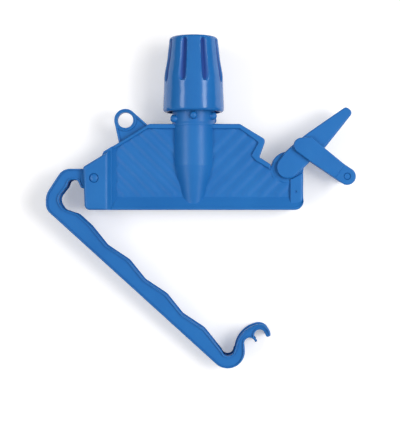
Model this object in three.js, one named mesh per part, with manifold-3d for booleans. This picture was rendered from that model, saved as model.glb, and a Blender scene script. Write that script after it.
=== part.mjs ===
// A plastic mop clip for looped wet mops, lying on its back: a flat body with a pole socket, a screw collar
// that grips the pole, a long wavy gate that swings shut under the body, and a lever with a bail that hooks
// the gate's end. Millimetres. Origin: centre of the socket's flat floor. +Y runs up the pole, +Z out of the
// front face, +X to the latch side.
import * as THREE from "three";
import { mergeVertices } from "three/addons/utils/BufferGeometryUtils.js";
import Module from "manifold-3d";

const wasm = await Module();
wasm.setup();

// ---------------------------------------------------------------- driving dimensions
const POLE_R = 12.5; // a 25 mm pole
const POLE_SLIP = 0.2; // radial room round the pole
const RUN = 0.3; // clearance of a piece that turns or slides on its neighbour
const HELD = 0.1; // clearance of a piece that is held fast by its neighbour

const SOCKET_WALL = 3.4;
const SEAT_R = 8; // flat floor of the socket
const TAPER_TOP_Y = 18; // the bore is straight above this height
const SOCKET_FOOT_Y = -9; // the outside cone ends here, in the jaw
const SOCKET_FOOT_R = 11;
const NECK_STEP = 0.7; // the neck inside the collar is this much thinner
const MOUTH_DEPTH = 12; // conical mouth that the collet sits in
const MOUTH_FLARE = 1.5;

const STUDS = 6; // round thread studs in each row
const STUD_R = 3;
const STUD_TIP_R = 19.7; // from the pole axis to a stud's end
const STUD_ROWS_Y = [57.4, 71];
const STUD_DROP = 2.1; // every third stud of a row sits this much lower

const BODY_HALF_WIDTH = 82.8;
const JAW_Y = -13.5; // the body's bottom edge, which the gate closes on
const BODY_TOP_Y = 51.5;
const TOP_LEFT_X = -33.5;
const TOP_RIGHT_X = 34.9;
const SHOULDER_Y = 18.8; // the left side ends here and the slope starts
const STEP_INSET = 15.2; // from the body's left side to the step in its slope
const STEP_LEAN = 1.1;
const STEP_DROP = 2.3;
const SLOPE = 0.617; // rise over run of the sloping shoulders
const JAW_CORNER_R = [4, 6.7]; // left and right
const JAW_INSET = 1.3; // the left side leans in by this much at the jaw
const SHOULDER_R = 1.6;
const TOP_CORNER_R = 1.5;

const PANEL_HALF = 6.2; // half thickness of the sunk panels
const RIM_HALF = 8.5; // half thickness of the rim round them
const RIM_WIDTH = 3.7;
const JAW_HALF = 10.6; // half depth of the jaw flange
const JAW_LIP = 1.9; // height of its flat lip
const JAW_SLOPE = 7.8; // height of the sloped band above the lip
const RIBS = 8; // slanting ribs on each side of the socket, at 45 degrees
const RIB_FIRST_Y = 18.7; // where the top one's line meets the pole's axis
const RIB_PITCH = 11.9; // from one to the next, along the axis
const RIB_WIDTH = 3.6;
const RIB_RISE = 0.6;

const HINGE_INSET = 8.2; // the gate turns this far in from the body's left side
const HINGE_Y = 10.5;
const HUB_R = 10.5;
const GATE_HALF = 10; // half depth of the gate
const HOOK_THINNING = 0.6; // the hook is this much thinner on each side, to pass between the bail's arms

// The gate's outline when it hangs open. A third number is a corner's radius.
const ARM_TOP = 7.1; // top of the gate's neck above the hinge
const BEND_OUTSIDE = [[-24, 7.1, 10.5], [-36.6, -12.3, 14]]; // from the hinge
const ARM_START = [-36.7, -23.5]; // its straight outer edge starts here, from the hinge
const ARM_START_R = 9;
const BEND_INSIDE = [
  [-12.7, -26.9, 8],
  [-23.2, -23.4, 5],
  [-28.4, -15.9, 7],
  [-20.9, -6.4, 1],
  [-18.9, -1.2, 3.2],
  [-12.9, -1.2, 3.2],
  [-10.2, -7.2, 1],
];
const ARM_LEAN = 42.26; // degrees below level
const ARM_LENGTH = 173.2; // from its start to the turn before the hook
const CRESTS = 4; // the arm's inner edge is wavy
const CREST_START = 33; // the first crest, along the arm
const CREST_PITCH = 38.8;
const CREST_WIDTH = 13.6; // width of the arm at a crest
const CREST_R = 9;
const TROUGH_AFTER = 19.2; // from a crest to the trough after it
const TROUGH_WIDTH = 10.6;
const TROUGH_R = 6;
const TURN_R = 13.1; // outside of the turn before the hook
const TURN_IN = [0.4, 0.9]; // inside of it; this and the next are measured from the turn's centre
const TURN_IN_R = 4.5;
const STEM_ARC = [26.6, -0.6]; // back of the hook's stem
const STEM_ARC_R = 21;
const NOTCH_NEAR = [16.6, 6]; // the two notches for the crossbar
const NOTCH_FAR = [24.2, 12.1];
const NOTCH_R = 4.05;
const PRONG = [[21, 6.9], [22.1, 7.4], [22.2, 8.5]]; // the point between them
const HOOK_TIP = [[29, 11.2], [30.1, 10.7], [31.5, 11.2]];
const HOOK_WALL = 4.1;

const CHEEK = 3.9; // wall on each side of the gate's hub
const BLOCK_WIDTH = 20.6;
const BLOCK_DRAFT = 4.1; // its right side slopes down to the panel over this width
const BLOCK_CHAMFER = 1.1;
const SLOT_FLOOR_Y = -4;
const HINGE_PIN_R = 2.9;
const PIN_HEAD_R = 3.6;
const PIN_HEAD_T = 1.6;

const EYE_X = -51.7; // hanging eye
const EYE_Y = 54.7;
const EYE_R = 8.5;
const EYE_HOLE_R = 5.9;
const EYE_BEAD = 1.5;
const EYE_HALF = 4.2;
const EYE_WEB_HALF = 2.9;
const EYE_ROOT_X = [-56.3, -35.5];

const EAR_R = 12; // ear that carries the lever
const EAR_HALF = 7;
const LEVER_INSET = 11.7; // from the body's right side to the lever's pivot
const LEVER_Y = 18.6;
const NOTCH_TIP = [-16.5, 21]; // V-notch for the lever's knuckle, from the lever's pivot
const NOTCH_TIP_R = 2.8;
const NOTCH_ROOT = [-21.3, 7.8];
const NOTCH_ROOT_R = 0.8;
const NOTCH_FOOT = [-12, 1.8];
const NOTCH_RIM = [[1.3, -10.5], [-11.4, -2.7], [-24.1, 4.9], [-27.8, 8.9], [-22.3, 18.9]]; // panel's edge
const HUB_ROOM = 1.1; // round the lever's hub, where the body stands up beside it
const LEVER_DOWN = 12; // degrees that the lever swings below its open position

const LEVER_ANGLE = 44.5; // degrees above +X, lever open
const LEVER_HUB_R = 8.5;
const LEVER_PLATE = 3.6;
const LEVER_EDGE = [
  [31, -8.9, 3],
  [64, -4.8, 3],
  [63.2, 2.1, 2.6],
  [31, 7.7, 4],
  [20, 9.2, 6],
  [6, 9.6, 6],
]; // along and across the lever, from its pivot
const LEVER_CHAMFER = 0.6;
const LEVER_HALF = EAR_HALF + RUN + LEVER_PLATE;
const FORK_ROOM = 0.95; // between the ear and the lever's solid web
const LEVER_PIN_R = 2.9;
const BAIL_PIVOT = [18.8, 3.1]; // along and across the lever, from its own pivot
const BAIL_PIN_R = 2.6;

const BAIL_ANGLE = -34.1; // degrees above +X, bail hanging as in use
const BAIL_LENGTH = 39.7;
const BAIL_HEEL = [-1.8, -0.1]; // centre of the front arm's round end by the lever, from the bail's pivot
const BAIL_HEEL_R = 5.8;
const BAIL_HEEL_TURN = 34; // degrees that its top edge leans from the bail's own line
const BAIL_CORNER = [0.9, 9.7, 1.6];
const BAIL_KNEE = [10.3, -6.4, 8];
const BAIL_KNOB_R = 6.5; // its round end at the crossbar
const BAIL_LINK_R = 4.4; // the rear arm is a plain link
const BAIL_ARM = 3.2;
const BAIL_CHAMFER = 0.6;
const BAIL_STEP = 0.9; // the crossbar end of an arm is this much thinner
const BAIL_STEP_BACK = 6.4;
const CROSSBAR_R = 2.4;
const ROLLER_R = 3.6;

const COLLAR_FOOT_Y = 60.7;
const COLLAR_HEIGHT = 56.9;
const COLLAR_BAND = [[22.2, 0], [23.2, 1.8], [22.4, 26]]; // radius, and height above the collar's foot
// Radius, and depth below the collar's top.
const COLLAR_GRIP = [[21.7, 25.5], [20.1, 16.6], [18.8, 4.7], [18.5, 1.4], [17.9, 0.5], [16.6, 0]];
const COLLAR_ROOM = 0.4; // between the studs' ends and the inside of the collar
const COLLAR_LIP = 5; // thickness of its inturned top
const COLLAR_MOUTH = 0.9; // its mouth is this much wider than the pole
const COLLAR_WAIST = 18; // the wide bore ends this far above the foot
const COLLAR_NARROWING = 8;
const FLUTES = 8;
const FLUTE_R = 3.6;
const FLUTE_DEPTH = 2.4;
const FLUTE_RUN_OUT = 10;
const FLUTE_LEAN = 8.4; // degrees, as the collar narrows

const COLLET_HEAD = 16; // height of the collet above the neck
const COLLET_TAIL = 10; // its length in the neck's mouth
const COLLET_HEAD_WALL = 2.9;
const COLLET_TOP_WALL = 2;
const COLLET_SHOULDER = 7; // the head is straight up to this height
const COLLET_SLITS = 6;
const SLIT_WIDTH = 1.4;
const SLIT_END = 5; // the slits stop this far below the top

const ROUND = 40; // sides of a large circle
const SMALL = 20; // sides of a small one

// ---------------------------------------------------------------- solids and outlines
const rad = (degrees) => (degrees * Math.PI) / 180;
const turned = ([x, y], degrees, [x0, y0] = [0, 0]) => {
  const c = Math.cos(rad(degrees));
  const s = Math.sin(rad(degrees));
  return [x0 + x * c - y * s, y0 + x * s + y * c];
};

// A closed three.js geometry as a solid that can be joined and cut.
function solid(geometry) {
  const plain = new THREE.BufferGeometry();
  plain.setAttribute("position", geometry.getAttribute("position"));
  if (geometry.index) plain.setIndex(geometry.index);
  const merged = mergeVertices(plain, 1e-4);
  const vertProperties = merged.attributes.position.array;
  const triVerts = new Uint32Array(merged.index.array);
  return new wasm.Manifold(new wasm.Mesh({ numProp: 3, vertProperties, triVerts }));
}

// A solid as a three.js geometry, with flat shading.
function geometryOf(made) {
  const mesh = made.getMesh();
  const geometry = new THREE.BufferGeometry();
  geometry.setAttribute("position", new THREE.BufferAttribute(new Float32Array(mesh.vertProperties), 3));
  geometry.setIndex(new THREE.BufferAttribute(new Uint32Array(mesh.triVerts), 1));
  const flat = geometry.toNonIndexed();
  flat.computeVertexNormals();
  return flat;
}

// Points of an arc about (x, y), both ends included.
function arc(x, y, r, from, to, steps) {
  const points = [];
  for (let i = 0; i <= steps; i += 1) points.push(turned([r, 0], from + ((to - from) * i) / steps, [x, y]));
  return points;
}

// An outline from corners [x, y, radius]: each corner with a radius becomes an arc.
function rounded(corners) {
  const points = [];
  corners.forEach(([x, y, r = 0], i) => {
    const here = new THREE.Vector2(x, y);
    const [bx, by] = corners[(i + corners.length - 1) % corners.length];
    const [ax, ay] = corners[(i + 1) % corners.length];
    const back = new THREE.Vector2(bx, by).sub(here).normalize();
    const ahead = new THREE.Vector2(ax, ay).sub(here).normalize();
    const half = Math.acos(THREE.MathUtils.clamp(back.dot(ahead), -1, 1)) / 2;
    if (!r || half > rad(88)) {
      points.push([x, y]);
      return;
    }
    const centre = back.clone().add(ahead).normalize().multiplyScalar(r / Math.sin(half)).add(here);
    const start = here.clone().addScaledVector(back, r / Math.tan(half)).sub(centre);
    const end = here.clone().addScaledVector(ahead, r / Math.tan(half)).sub(centre);
    const sweep = Math.atan2(start.cross(end), start.dot(end));
    const steps = Math.max(2, Math.ceil(Math.abs(sweep) / rad(16)));
    for (let k = 0; k <= steps; k += 1) {
      const p = start.clone().rotateAround(new THREE.Vector2(), (sweep * k) / steps).add(centre);
      points.push([p.x, p.y]);
    }
  });
  return points;
}

// A flat piece between two heights, from a list of points.
function slab(points, z0, z1) {
  const shape = new THREE.Shape(points.map(([x, y]) => new THREE.Vector2(x, y)));
  const geometry = new THREE.ExtrudeGeometry(shape, { depth: z1 - z0, bevelEnabled: false });
  return solid(geometry.translate(0, 0, z0));
}

// The same with both faces' edges taken off by a chamfer.
function chamfered(points, z0, z1, chamfer) {
  const shape = new THREE.Shape(points.map(([x, y]) => new THREE.Vector2(x, y)));
  const geometry = new THREE.ExtrudeGeometry(shape, {
    depth: z1 - z0 - 2 * chamfer,
    bevelThickness: chamfer,
    bevelSize: chamfer,
    bevelOffset: -chamfer,
    bevelSegments: 1,
  });
  return solid(geometry.translate(0, 0, z0 + chamfer));
}

function disc(x, y, r, z0, z1, sides = ROUND) {
  return slab(arc(x, y, r, 0, 360 * (1 - 1 / sides), sides - 1), z0, z1);
}

// A turned piece about the pole axis: the profile is [radius, height] and closes on itself.
function turnedOnPole(profile, sides = ROUND) {
  return solid(new THREE.LatheGeometry(profile.map(([r, y]) => new THREE.Vector2(r, y)), sides));
}

const joined = (pieces) => pieces.reduce((sum, piece) => sum.add(piece));
const bothSides = (points, near, far) => slab(points, near, far).add(slab(points, -far, -near));

// ---------------------------------------------------------------- places worked out from the dimensions
const HINGE = [-BODY_HALF_WIDTH + HINGE_INSET, HINGE_Y];
const LEVER_PIVOT = [BODY_HALF_WIDTH - LEVER_INSET, LEVER_Y];
const fromLever = ([x, y]) => [LEVER_PIVOT[0] + x, LEVER_PIVOT[1] + y];
const BAIL_PIN = turned(BAIL_PIVOT, LEVER_ANGLE, LEVER_PIVOT);
const CROSSBAR = turned([BAIL_LENGTH, 0], BAIL_ANGLE, BAIL_PIN);
const BORE_R = POLE_R + POLE_SLIP;
const SOCKET_R = BORE_R + SOCKET_WALL;
const NECK_R = SOCKET_R - NECK_STEP;
const SLOT_HALF = GATE_HALF + RUN;
const BLOCK_HALF = SLOT_HALF + CHEEK;
const BLOCK_RIGHT_X = -BODY_HALF_WIDTH + BLOCK_WIDTH;
const NECK_Y = COLLAR_FOOT_Y + 1.6;
const COLLAR_TOP_Y = COLLAR_FOOT_Y + COLLAR_HEIGHT;
const COLLET_TOP_Y = COLLAR_TOP_Y - COLLAR_LIP;
const NECK_TOP_Y = COLLET_TOP_Y - COLLET_HEAD;
const COLLET_FOOT_Y = NECK_TOP_Y - COLLET_TAIL;
const COLLET_HEAD_R = POLE_R + COLLET_HEAD_WALL;
const BAIL_INNER = LEVER_HALF + RUN;
const BAIL_OUTER = BAIL_INNER + BAIL_ARM;
const slopeY = (x) => BODY_TOP_Y - SLOPE * (TOP_LEFT_X - x);
const STEP_X = -BODY_HALF_WIDTH + STEP_INSET;
const STEP_FOOT = [STEP_X - STEP_LEAN, slopeY(STEP_X - STEP_LEAN) - STEP_DROP];

const bodyOutline = rounded([
  [-BODY_HALF_WIDTH + JAW_INSET, JAW_Y, JAW_CORNER_R[0]],
  [-BODY_HALF_WIDTH, SHOULDER_Y, SHOULDER_R],
  STEP_FOOT,
  [STEP_X, slopeY(STEP_X)],
  [TOP_LEFT_X, BODY_TOP_Y],
  [TOP_RIGHT_X, BODY_TOP_Y, TOP_CORNER_R],
  [...fromLever(NOTCH_TIP), NOTCH_TIP_R],
  [...fromLever(NOTCH_ROOT), NOTCH_ROOT_R],
  fromLever(NOTCH_FOOT),
  LEVER_PIVOT,
  [BODY_HALF_WIDTH, LEVER_Y],
  [BODY_HALF_WIDTH, JAW_Y, JAW_CORNER_R[1]],
]);

// ---------------------------------------------------------------- the body
const PANEL_FOOT_Y = JAW_Y + JAW_LIP + JAW_SLOPE;
const PANEL_TOP_Y = BODY_TOP_Y - RIM_WIDTH;
const PANEL_LEFT_X = BLOCK_RIGHT_X + BLOCK_DRAFT;
const PANEL_RIGHT_X = BODY_HALF_WIDTH - 9.9;
const leftPanel = [
  [PANEL_LEFT_X, PANEL_FOOT_Y],
  [0, PANEL_FOOT_Y],
  [0, PANEL_TOP_Y],
  [TOP_LEFT_X - 1.2, PANEL_TOP_Y],
  [PANEL_LEFT_X, PANEL_TOP_Y - SLOPE * (TOP_LEFT_X - 1.2 - PANEL_LEFT_X)],
];
const rightPanel = [
  [0, PANEL_FOOT_Y],
  [PANEL_RIGHT_X, PANEL_FOOT_Y],
  ...NOTCH_RIM.map(fromLever),
  [TOP_RIGHT_X - 0.2, PANEL_TOP_Y],
  [0, PANEL_TOP_Y],
];

// Slanting ribs that run outwards and upwards from the socket, to be left standing in a panel.
function ribs(side) {
  const bars = [];
  const half = RIB_WIDTH / Math.SQRT2;
  for (let k = 0; k < RIBS; k += 1) {
    const y = RIB_FIRST_Y - k * RIB_PITCH;
    const bar = [
      [0, y - half],
      [0, y + half],
      [side * BODY_HALF_WIDTH, y + half + BODY_HALF_WIDTH],
      [side * BODY_HALF_WIDTH, y - half + BODY_HALF_WIDTH],
    ];
    bars.push(bothSides(bar, PANEL_HALF - 1, PANEL_HALF + RIB_RISE));
  }
  return joined(bars);
}

// The jaw: a flange along the bottom that widens from the panels to a flat lip.
function jawFlange() {
  const lipY = JAW_Y + JAW_LIP;
  const profile = [
    [JAW_Y, -JAW_HALF + 0.8],
    [JAW_Y + 0.8, -JAW_HALF],
    [lipY, -JAW_HALF],
    [PANEL_FOOT_Y, -PANEL_HALF],
    [PANEL_FOOT_Y, PANEL_HALF],
    [lipY, JAW_HALF],
    [JAW_Y + 0.8, JAW_HALF],
    [JAW_Y, JAW_HALF - 0.8],
  ];
  const shape = new THREE.Shape(profile.map(([y, z]) => new THREE.Vector2(y, z)));
  const bar = new THREE.ExtrudeGeometry(shape, { depth: 2 * BODY_HALF_WIDTH, bevelEnabled: false });
  bar.rotateX(Math.PI / 2).rotateZ(Math.PI / 2).translate(-BODY_HALF_WIDTH, 0, 0);
  return solid(bar);
}

// The hanging eye: a web with a bead round its edge and round the hole.
function hangingEye() {
  const tangent = [
    [EYE_X + EYE_R * 0.68, EYE_Y + EYE_R * 0.73],
    [EYE_X - EYE_R * 0.96, EYE_Y - EYE_R * 0.27],
  ];
  const tab = [
    [EYE_ROOT_X[0], slopeY(EYE_ROOT_X[0]) - 2],
    [EYE_ROOT_X[1] + 3, slopeY(EYE_ROOT_X[1]) - 2],
    tangent[0],
    tangent[1],
  ];
  const centre = [EYE_X + 2, EYE_Y - 6];
  const nearer = (at, from) => from + (at - from) * 0.8;
  const middle = tab.map(([x, y]) => [nearer(x, centre[0]), nearer(y, centre[1])]);
  const plate = slab(tab, -EYE_HALF, EYE_HALF).add(disc(EYE_X, EYE_Y, EYE_R, -EYE_HALF, EYE_HALF));
  const ring = disc(EYE_X, EYE_Y, EYE_HOLE_R + EYE_BEAD, -EYE_HALF, EYE_HALF);
  const sunk = plate.subtract(bothSides(middle, EYE_WEB_HALF, EYE_HALF + 1));
  return sunk.add(ring).subtract(disc(EYE_X, EYE_Y, EYE_HOLE_R, -EYE_HALF - 1, EYE_HALF + 1));
}

// The block that holds the gate's hub between two cheeks, with a sloping right side.
function hingeBlock() {
  const outline = rounded([
    [-BODY_HALF_WIDTH + JAW_INSET, JAW_Y, JAW_CORNER_R[0]],
    [PANEL_LEFT_X, JAW_Y],
    [PANEL_LEFT_X, slopeY(PANEL_LEFT_X)],
    [STEP_X, slopeY(STEP_X)],
    STEP_FOOT,
    [-BODY_HALF_WIDTH, SHOULDER_Y, SHOULDER_R],
  ]);
  const section = [
    [-BODY_HALF_WIDTH - 1, -BLOCK_HALF - 1],
    [BLOCK_RIGHT_X, -BLOCK_HALF - 1],
    [BLOCK_RIGHT_X, -BLOCK_HALF],
    [PANEL_LEFT_X, -PANEL_HALF],
    [PANEL_LEFT_X, PANEL_HALF],
    [BLOCK_RIGHT_X, BLOCK_HALF],
    [BLOCK_RIGHT_X, BLOCK_HALF + 1],
    [-BODY_HALF_WIDTH - 1, BLOCK_HALF + 1],
  ];
  const shape = new THREE.Shape(section.map(([x, z]) => new THREE.Vector2(x, z)));
  const bar = new THREE.ExtrudeGeometry(shape, { depth: BODY_TOP_Y - JAW_Y + 2, bevelEnabled: false });
  bar.rotateX(Math.PI / 2).translate(0, BODY_TOP_Y + 1, 0);
  return chamfered(outline, -BLOCK_HALF, BLOCK_HALF, BLOCK_CHAMFER).intersect(solid(bar));
}

// Room for the hub and for the gate's neck, open to the left.
function hingeSlot() {
  const neckRoom = [
    [-BODY_HALF_WIDTH - 5, SLOT_FLOOR_Y],
    [HINGE[0], SLOT_FLOOR_Y],
    [HINGE[0], HINGE_Y + ARM_TOP + RUN],
    [-BODY_HALF_WIDTH - 5, HINGE_Y + ARM_TOP + RUN],
  ];
  return slab(neckRoom, -SLOT_HALF, SLOT_HALF).add(disc(...HINGE, HUB_R + 0.6, -SLOT_HALF, SLOT_HALF));
}

function socketOutside() {
  return turnedOnPole([
    [0, SOCKET_FOOT_Y - 2],
    [SOCKET_FOOT_R - 0.5, SOCKET_FOOT_Y - 2],
    [SOCKET_R, TAPER_TOP_Y],
    [SOCKET_R, BODY_TOP_Y - 1],
    [SOCKET_R + 0.7, BODY_TOP_Y],
    [SOCKET_R, BODY_TOP_Y + 2.6],
    [SOCKET_R, NECK_Y],
    [NECK_R, NECK_Y + NECK_STEP],
    [NECK_R, NECK_TOP_Y],
    [0, NECK_TOP_Y],
  ]);
}

function socketBore() {
  return turnedOnPole([
    [0, 0],
    [SEAT_R, 0],
    [BORE_R, TAPER_TOP_Y],
    [BORE_R, NECK_TOP_Y - MOUTH_DEPTH],
    [BORE_R + MOUTH_FLARE, NECK_TOP_Y],
    [BORE_R + MOUTH_FLARE, NECK_TOP_Y + 1],
    [0, NECK_TOP_Y + 1],
  ]);
}

function threadStuds() {
  const studs = [];
  STUD_ROWS_Y.forEach((rowY) => {
    for (let k = 0; k < STUDS; k += 1) {
      const length = STUD_TIP_R - BORE_R - 1;
      const stud = new THREE.CylinderGeometry(STUD_R * 0.82, STUD_R, length, 14);
      stud.translate(0, STUD_TIP_R - length / 2, 0).rotateX(Math.PI / 2);
      stud.rotateY((2 * Math.PI * k) / STUDS);
      studs.push(solid(stud.translate(0, rowY - (k % 3 === 2 ? STUD_DROP : 0), 0)));
    }
  });
  return joined(studs);
}

// Room above the ear for the lever's plates: wide over the panel, close round the hub beside it, and under
// the lever's lower edge when it's swung down.
function leverRoom() {
  const [x, y] = LEVER_PIVOT;
  const near = LEVER_HUB_R + HUB_ROOM;
  const overPanel = [[0, 0], [PANEL_RIGHT_X, 0], [PANEL_RIGHT_X, BODY_TOP_Y], [0, BODY_TOP_Y]];
  const wide = disc(x, y, EAR_R + FORK_ROOM, EAR_HALF, BLOCK_HALF).intersect(slab(overPanel, 0, BLOCK_HALF));
  const lowest = LEVER_ANGLE - LEVER_DOWN;
  const swung = [
    ...arc(x, y, near, lowest + 90, lowest + 270, 12),
    turned([EAR_R * 2, -near], lowest, LEVER_PIVOT),
    turned([EAR_R * 2, near], lowest, LEVER_PIVOT),
  ];
  const front = wide.add(slab(swung, EAR_HALF, BLOCK_HALF));
  return front.add(front.mirror([0, 0, 1]));
}

function holderBody() {
  const plate = slab(bodyOutline, -RIM_HALF, RIM_HALF);
  const above = RIM_HALF + 1;
  const left = bothSides(leftPanel, PANEL_HALF, above).subtract(ribs(-1));
  const right = bothSides(rightPanel, PANEL_HALF, above).subtract(ribs(1));
  const jaw = jawFlange().intersect(slab(bodyOutline, -BLOCK_HALF, BLOCK_HALF));
  const made = joined([
    plate.subtract(left).subtract(right).add(jaw).subtract(leverRoom()),
    disc(...LEVER_PIVOT, EAR_R, -EAR_HALF, EAR_HALF),
    hangingEye(),
    hingeBlock(),
    socketOutside(),
    threadStuds(),
  ]);
  const pinHole = disc(...HINGE, HINGE_PIN_R + HELD, -BLOCK_HALF - 1, BLOCK_HALF + 1, SMALL);
  const headHole = disc(...HINGE, PIN_HEAD_R + HELD, BLOCK_HALF - PIN_HEAD_T - HELD, BLOCK_HALF + 1, SMALL);
  const leverHole = disc(...LEVER_PIVOT, LEVER_PIN_R + RUN, -EAR_HALF - 1, EAR_HALF + 1, SMALL);
  return made.subtract(joined([hingeSlot(), socketBore(), pinHole, headHole, leverHole]));
}

// ---------------------------------------------------------------- the gate
const fromHinge = ([x, y, ...r]) => [HINGE[0] + x, HINGE[1] + y, ...r];
const alongArm = (along, across) => turned([along, across], -ARM_LEAN, fromHinge(ARM_START));
const TURN = alongArm(ARM_LENGTH, TURN_R);
const fromTurn = ([x, y]) => [TURN[0] + x, TURN[1] + y];

// The gate's outline, anticlockwise from the top of its hub.
function gateOutline() {
  const wavy = [];
  for (let k = CRESTS - 1; k >= 0; k -= 1) {
    const along = CREST_START + k * CREST_PITCH;
    if (k < CRESTS - 1) wavy.push([...alongArm(along + TROUGH_AFTER, TROUGH_WIDTH), TROUGH_R]);
    wavy.push([...alongArm(along, CREST_WIDTH), CREST_R]);
  }
  return rounded([
    fromHinge([0, ARM_TOP]),
    ...BEND_OUTSIDE.map(fromHinge),
    [...fromHinge(ARM_START), ARM_START_R],
    ...arc(...TURN, TURN_R, -90 - ARM_LEAN, 6, 11),
    ...arc(...fromTurn(NOTCH_NEAR), NOTCH_R, 180, 12, 9),
    ...PRONG.map(fromTurn),
    ...arc(...fromTurn(NOTCH_FAR), NOTCH_R, 232, 25, 11),
    ...HOOK_TIP.map(fromTurn),
    ...arc(...fromTurn(NOTCH_FAR), NOTCH_R + HOOK_WALL, -3, 114, 9),
    ...arc(...fromTurn(STEM_ARC), STEM_ARC_R, 112, 172, 5),
    ...arc(...fromTurn(TURN_IN), TURN_IN_R, 0, -165, 8),
    ...wavy,
    ...BEND_INSIDE.map(fromHinge),
    fromHinge([0, -HUB_R]),
  ]);
}

function gateArm() {
  const hub = disc(...HINGE, HUB_R, -GATE_HALF, GATE_HALF);
  const pinHole = disc(...HINGE, HINGE_PIN_R + RUN, -GATE_HALF - 1, GATE_HALF + 1, SMALL);
  const reach = NOTCH_R + HOOK_WALL;
  const [x, y] = fromTurn(NOTCH_FAR);
  const hook = [
    [x - 2.6 * reach, y - reach],
    [x + 2 * reach, y - reach],
    [x + 2 * reach, y + 2 * reach],
    [x - 2.6 * reach, y + 2 * reach],
  ];
  const thinning = bothSides(hook, GATE_HALF - HOOK_THINNING, GATE_HALF + 1);
  return slab(gateOutline(), -GATE_HALF, GATE_HALF).add(hub).subtract(thinning.add(pinHole));
}

function gateHingePin() {
  const shank = disc(...HINGE, HINGE_PIN_R, -BLOCK_HALF, BLOCK_HALF - 0.5, SMALL);
  return shank.add(disc(...HINGE, PIN_HEAD_R, BLOCK_HALF - PIN_HEAD_T, BLOCK_HALF, SMALL));
}

// ---------------------------------------------------------------- the lever, its bail and their pins
const leverPoint = (along, across) => turned([along, across], LEVER_ANGLE, LEVER_PIVOT);

function latchLever() {
  const outline = rounded([
    leverPoint(0, -LEVER_HUB_R),
    ...LEVER_EDGE.map(([along, across, r]) => [...leverPoint(along, across), r]),
    leverPoint(0, LEVER_HUB_R),
    ...arc(...LEVER_PIVOT, LEVER_HUB_R, LEVER_ANGLE + 105, LEVER_ANGLE + 255, 12),
  ]);
  const blank = chamfered(outline, -LEVER_HALF, LEVER_HALF, LEVER_CHAMFER);
  const fork = disc(...LEVER_PIVOT, EAR_R + FORK_ROOM, -EAR_HALF - RUN, EAR_HALF + RUN);
  const pinHole = disc(...LEVER_PIVOT, LEVER_PIN_R + HELD, -LEVER_HALF - 1, LEVER_HALF - 1.2, SMALL);
  const bailHole = disc(...BAIL_PIN, BAIL_PIN_R + RUN, -LEVER_HALF - 1, LEVER_HALF + 1, SMALL);
  return blank.subtract(joined([fork, pinHole, bailHole]));
}

const leverPivotPin = () => disc(...LEVER_PIVOT, LEVER_PIN_R, -LEVER_HALF, LEVER_HALF - 1.2 - RUN, SMALL);

// The front arm's outline: a broad end over the lever, a straight lower edge, a knob round the crossbar.
function frontArmOutline() {
  const along = (point) => [...turned(point, BAIL_ANGLE, BAIL_PIN), ...point.slice(2)];
  return rounded([
    along(BAIL_CORNER),
    ...arc(...along(BAIL_HEEL), BAIL_HEEL_R, BAIL_ANGLE + BAIL_HEEL_TURN + 90, BAIL_ANGLE + 268, 10),
    along(BAIL_KNEE),
    ...arc(...CROSSBAR, BAIL_KNOB_R, BAIL_ANGLE + 270, BAIL_ANGLE + 438, 12),
  ]);
}

function rearArmOutline() {
  return [
    ...arc(...BAIL_PIN, BAIL_LINK_R, BAIL_ANGLE + 90, BAIL_ANGLE + 270, 12),
    ...arc(...CROSSBAR, BAIL_LINK_R, BAIL_ANGLE + 270, BAIL_ANGLE + 450, 12),
  ];
}

// One arm of the bail, thinner where the crossbar goes through.
function bailArm(side) {
  const outline = side > 0 ? frontArmOutline() : rearArmOutline();
  const lower = side > 0 ? BAIL_INNER : -BAIL_OUTER;
  const bar = chamfered(outline, lower, lower + BAIL_ARM, BAIL_CHAMFER);
  const stepAt = (along, across) => turned([along, across], BAIL_ANGLE, CROSSBAR);
  const step = [stepAt(-BAIL_STEP_BACK, -12), stepAt(12, -12), stepAt(12, 12), stepAt(-BAIL_STEP_BACK, 12)];
  const floor = BAIL_OUTER - BAIL_STEP;
  const skin = side > 0 ? [floor, BAIL_OUTER + 1] : [-BAIL_OUTER - 1, -floor];
  const blind = side > 0 ? BAIL_OUTER - 1.2 : BAIL_OUTER + 1;
  const pivotHole = disc(...BAIL_PIN, BAIL_PIN_R + HELD, -BAIL_OUTER - 1, blind, SMALL);
  const barHole = disc(...CROSSBAR, CROSSBAR_R + HELD, -BAIL_OUTER - 1, BAIL_OUTER + 1, SMALL);
  return bar.subtract(slab(step, ...skin)).subtract(pivotHole.add(barHole));
}

const bailPivotPin = () => disc(...BAIL_PIN, BAIL_PIN_R, -BAIL_OUTER, BAIL_OUTER - 1.2 - RUN, SMALL);

function crossbarPin() {
  const end = BAIL_OUTER - BAIL_STEP;
  return disc(...CROSSBAR, CROSSBAR_R, -end, end, SMALL);
}

function crossbarRoller() {
  const tube = disc(...CROSSBAR, ROLLER_R, -LEVER_HALF, LEVER_HALF, SMALL);
  return tube.subtract(disc(...CROSSBAR, CROSSBAR_R + RUN, -BAIL_OUTER, BAIL_OUTER, SMALL));
}

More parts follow.
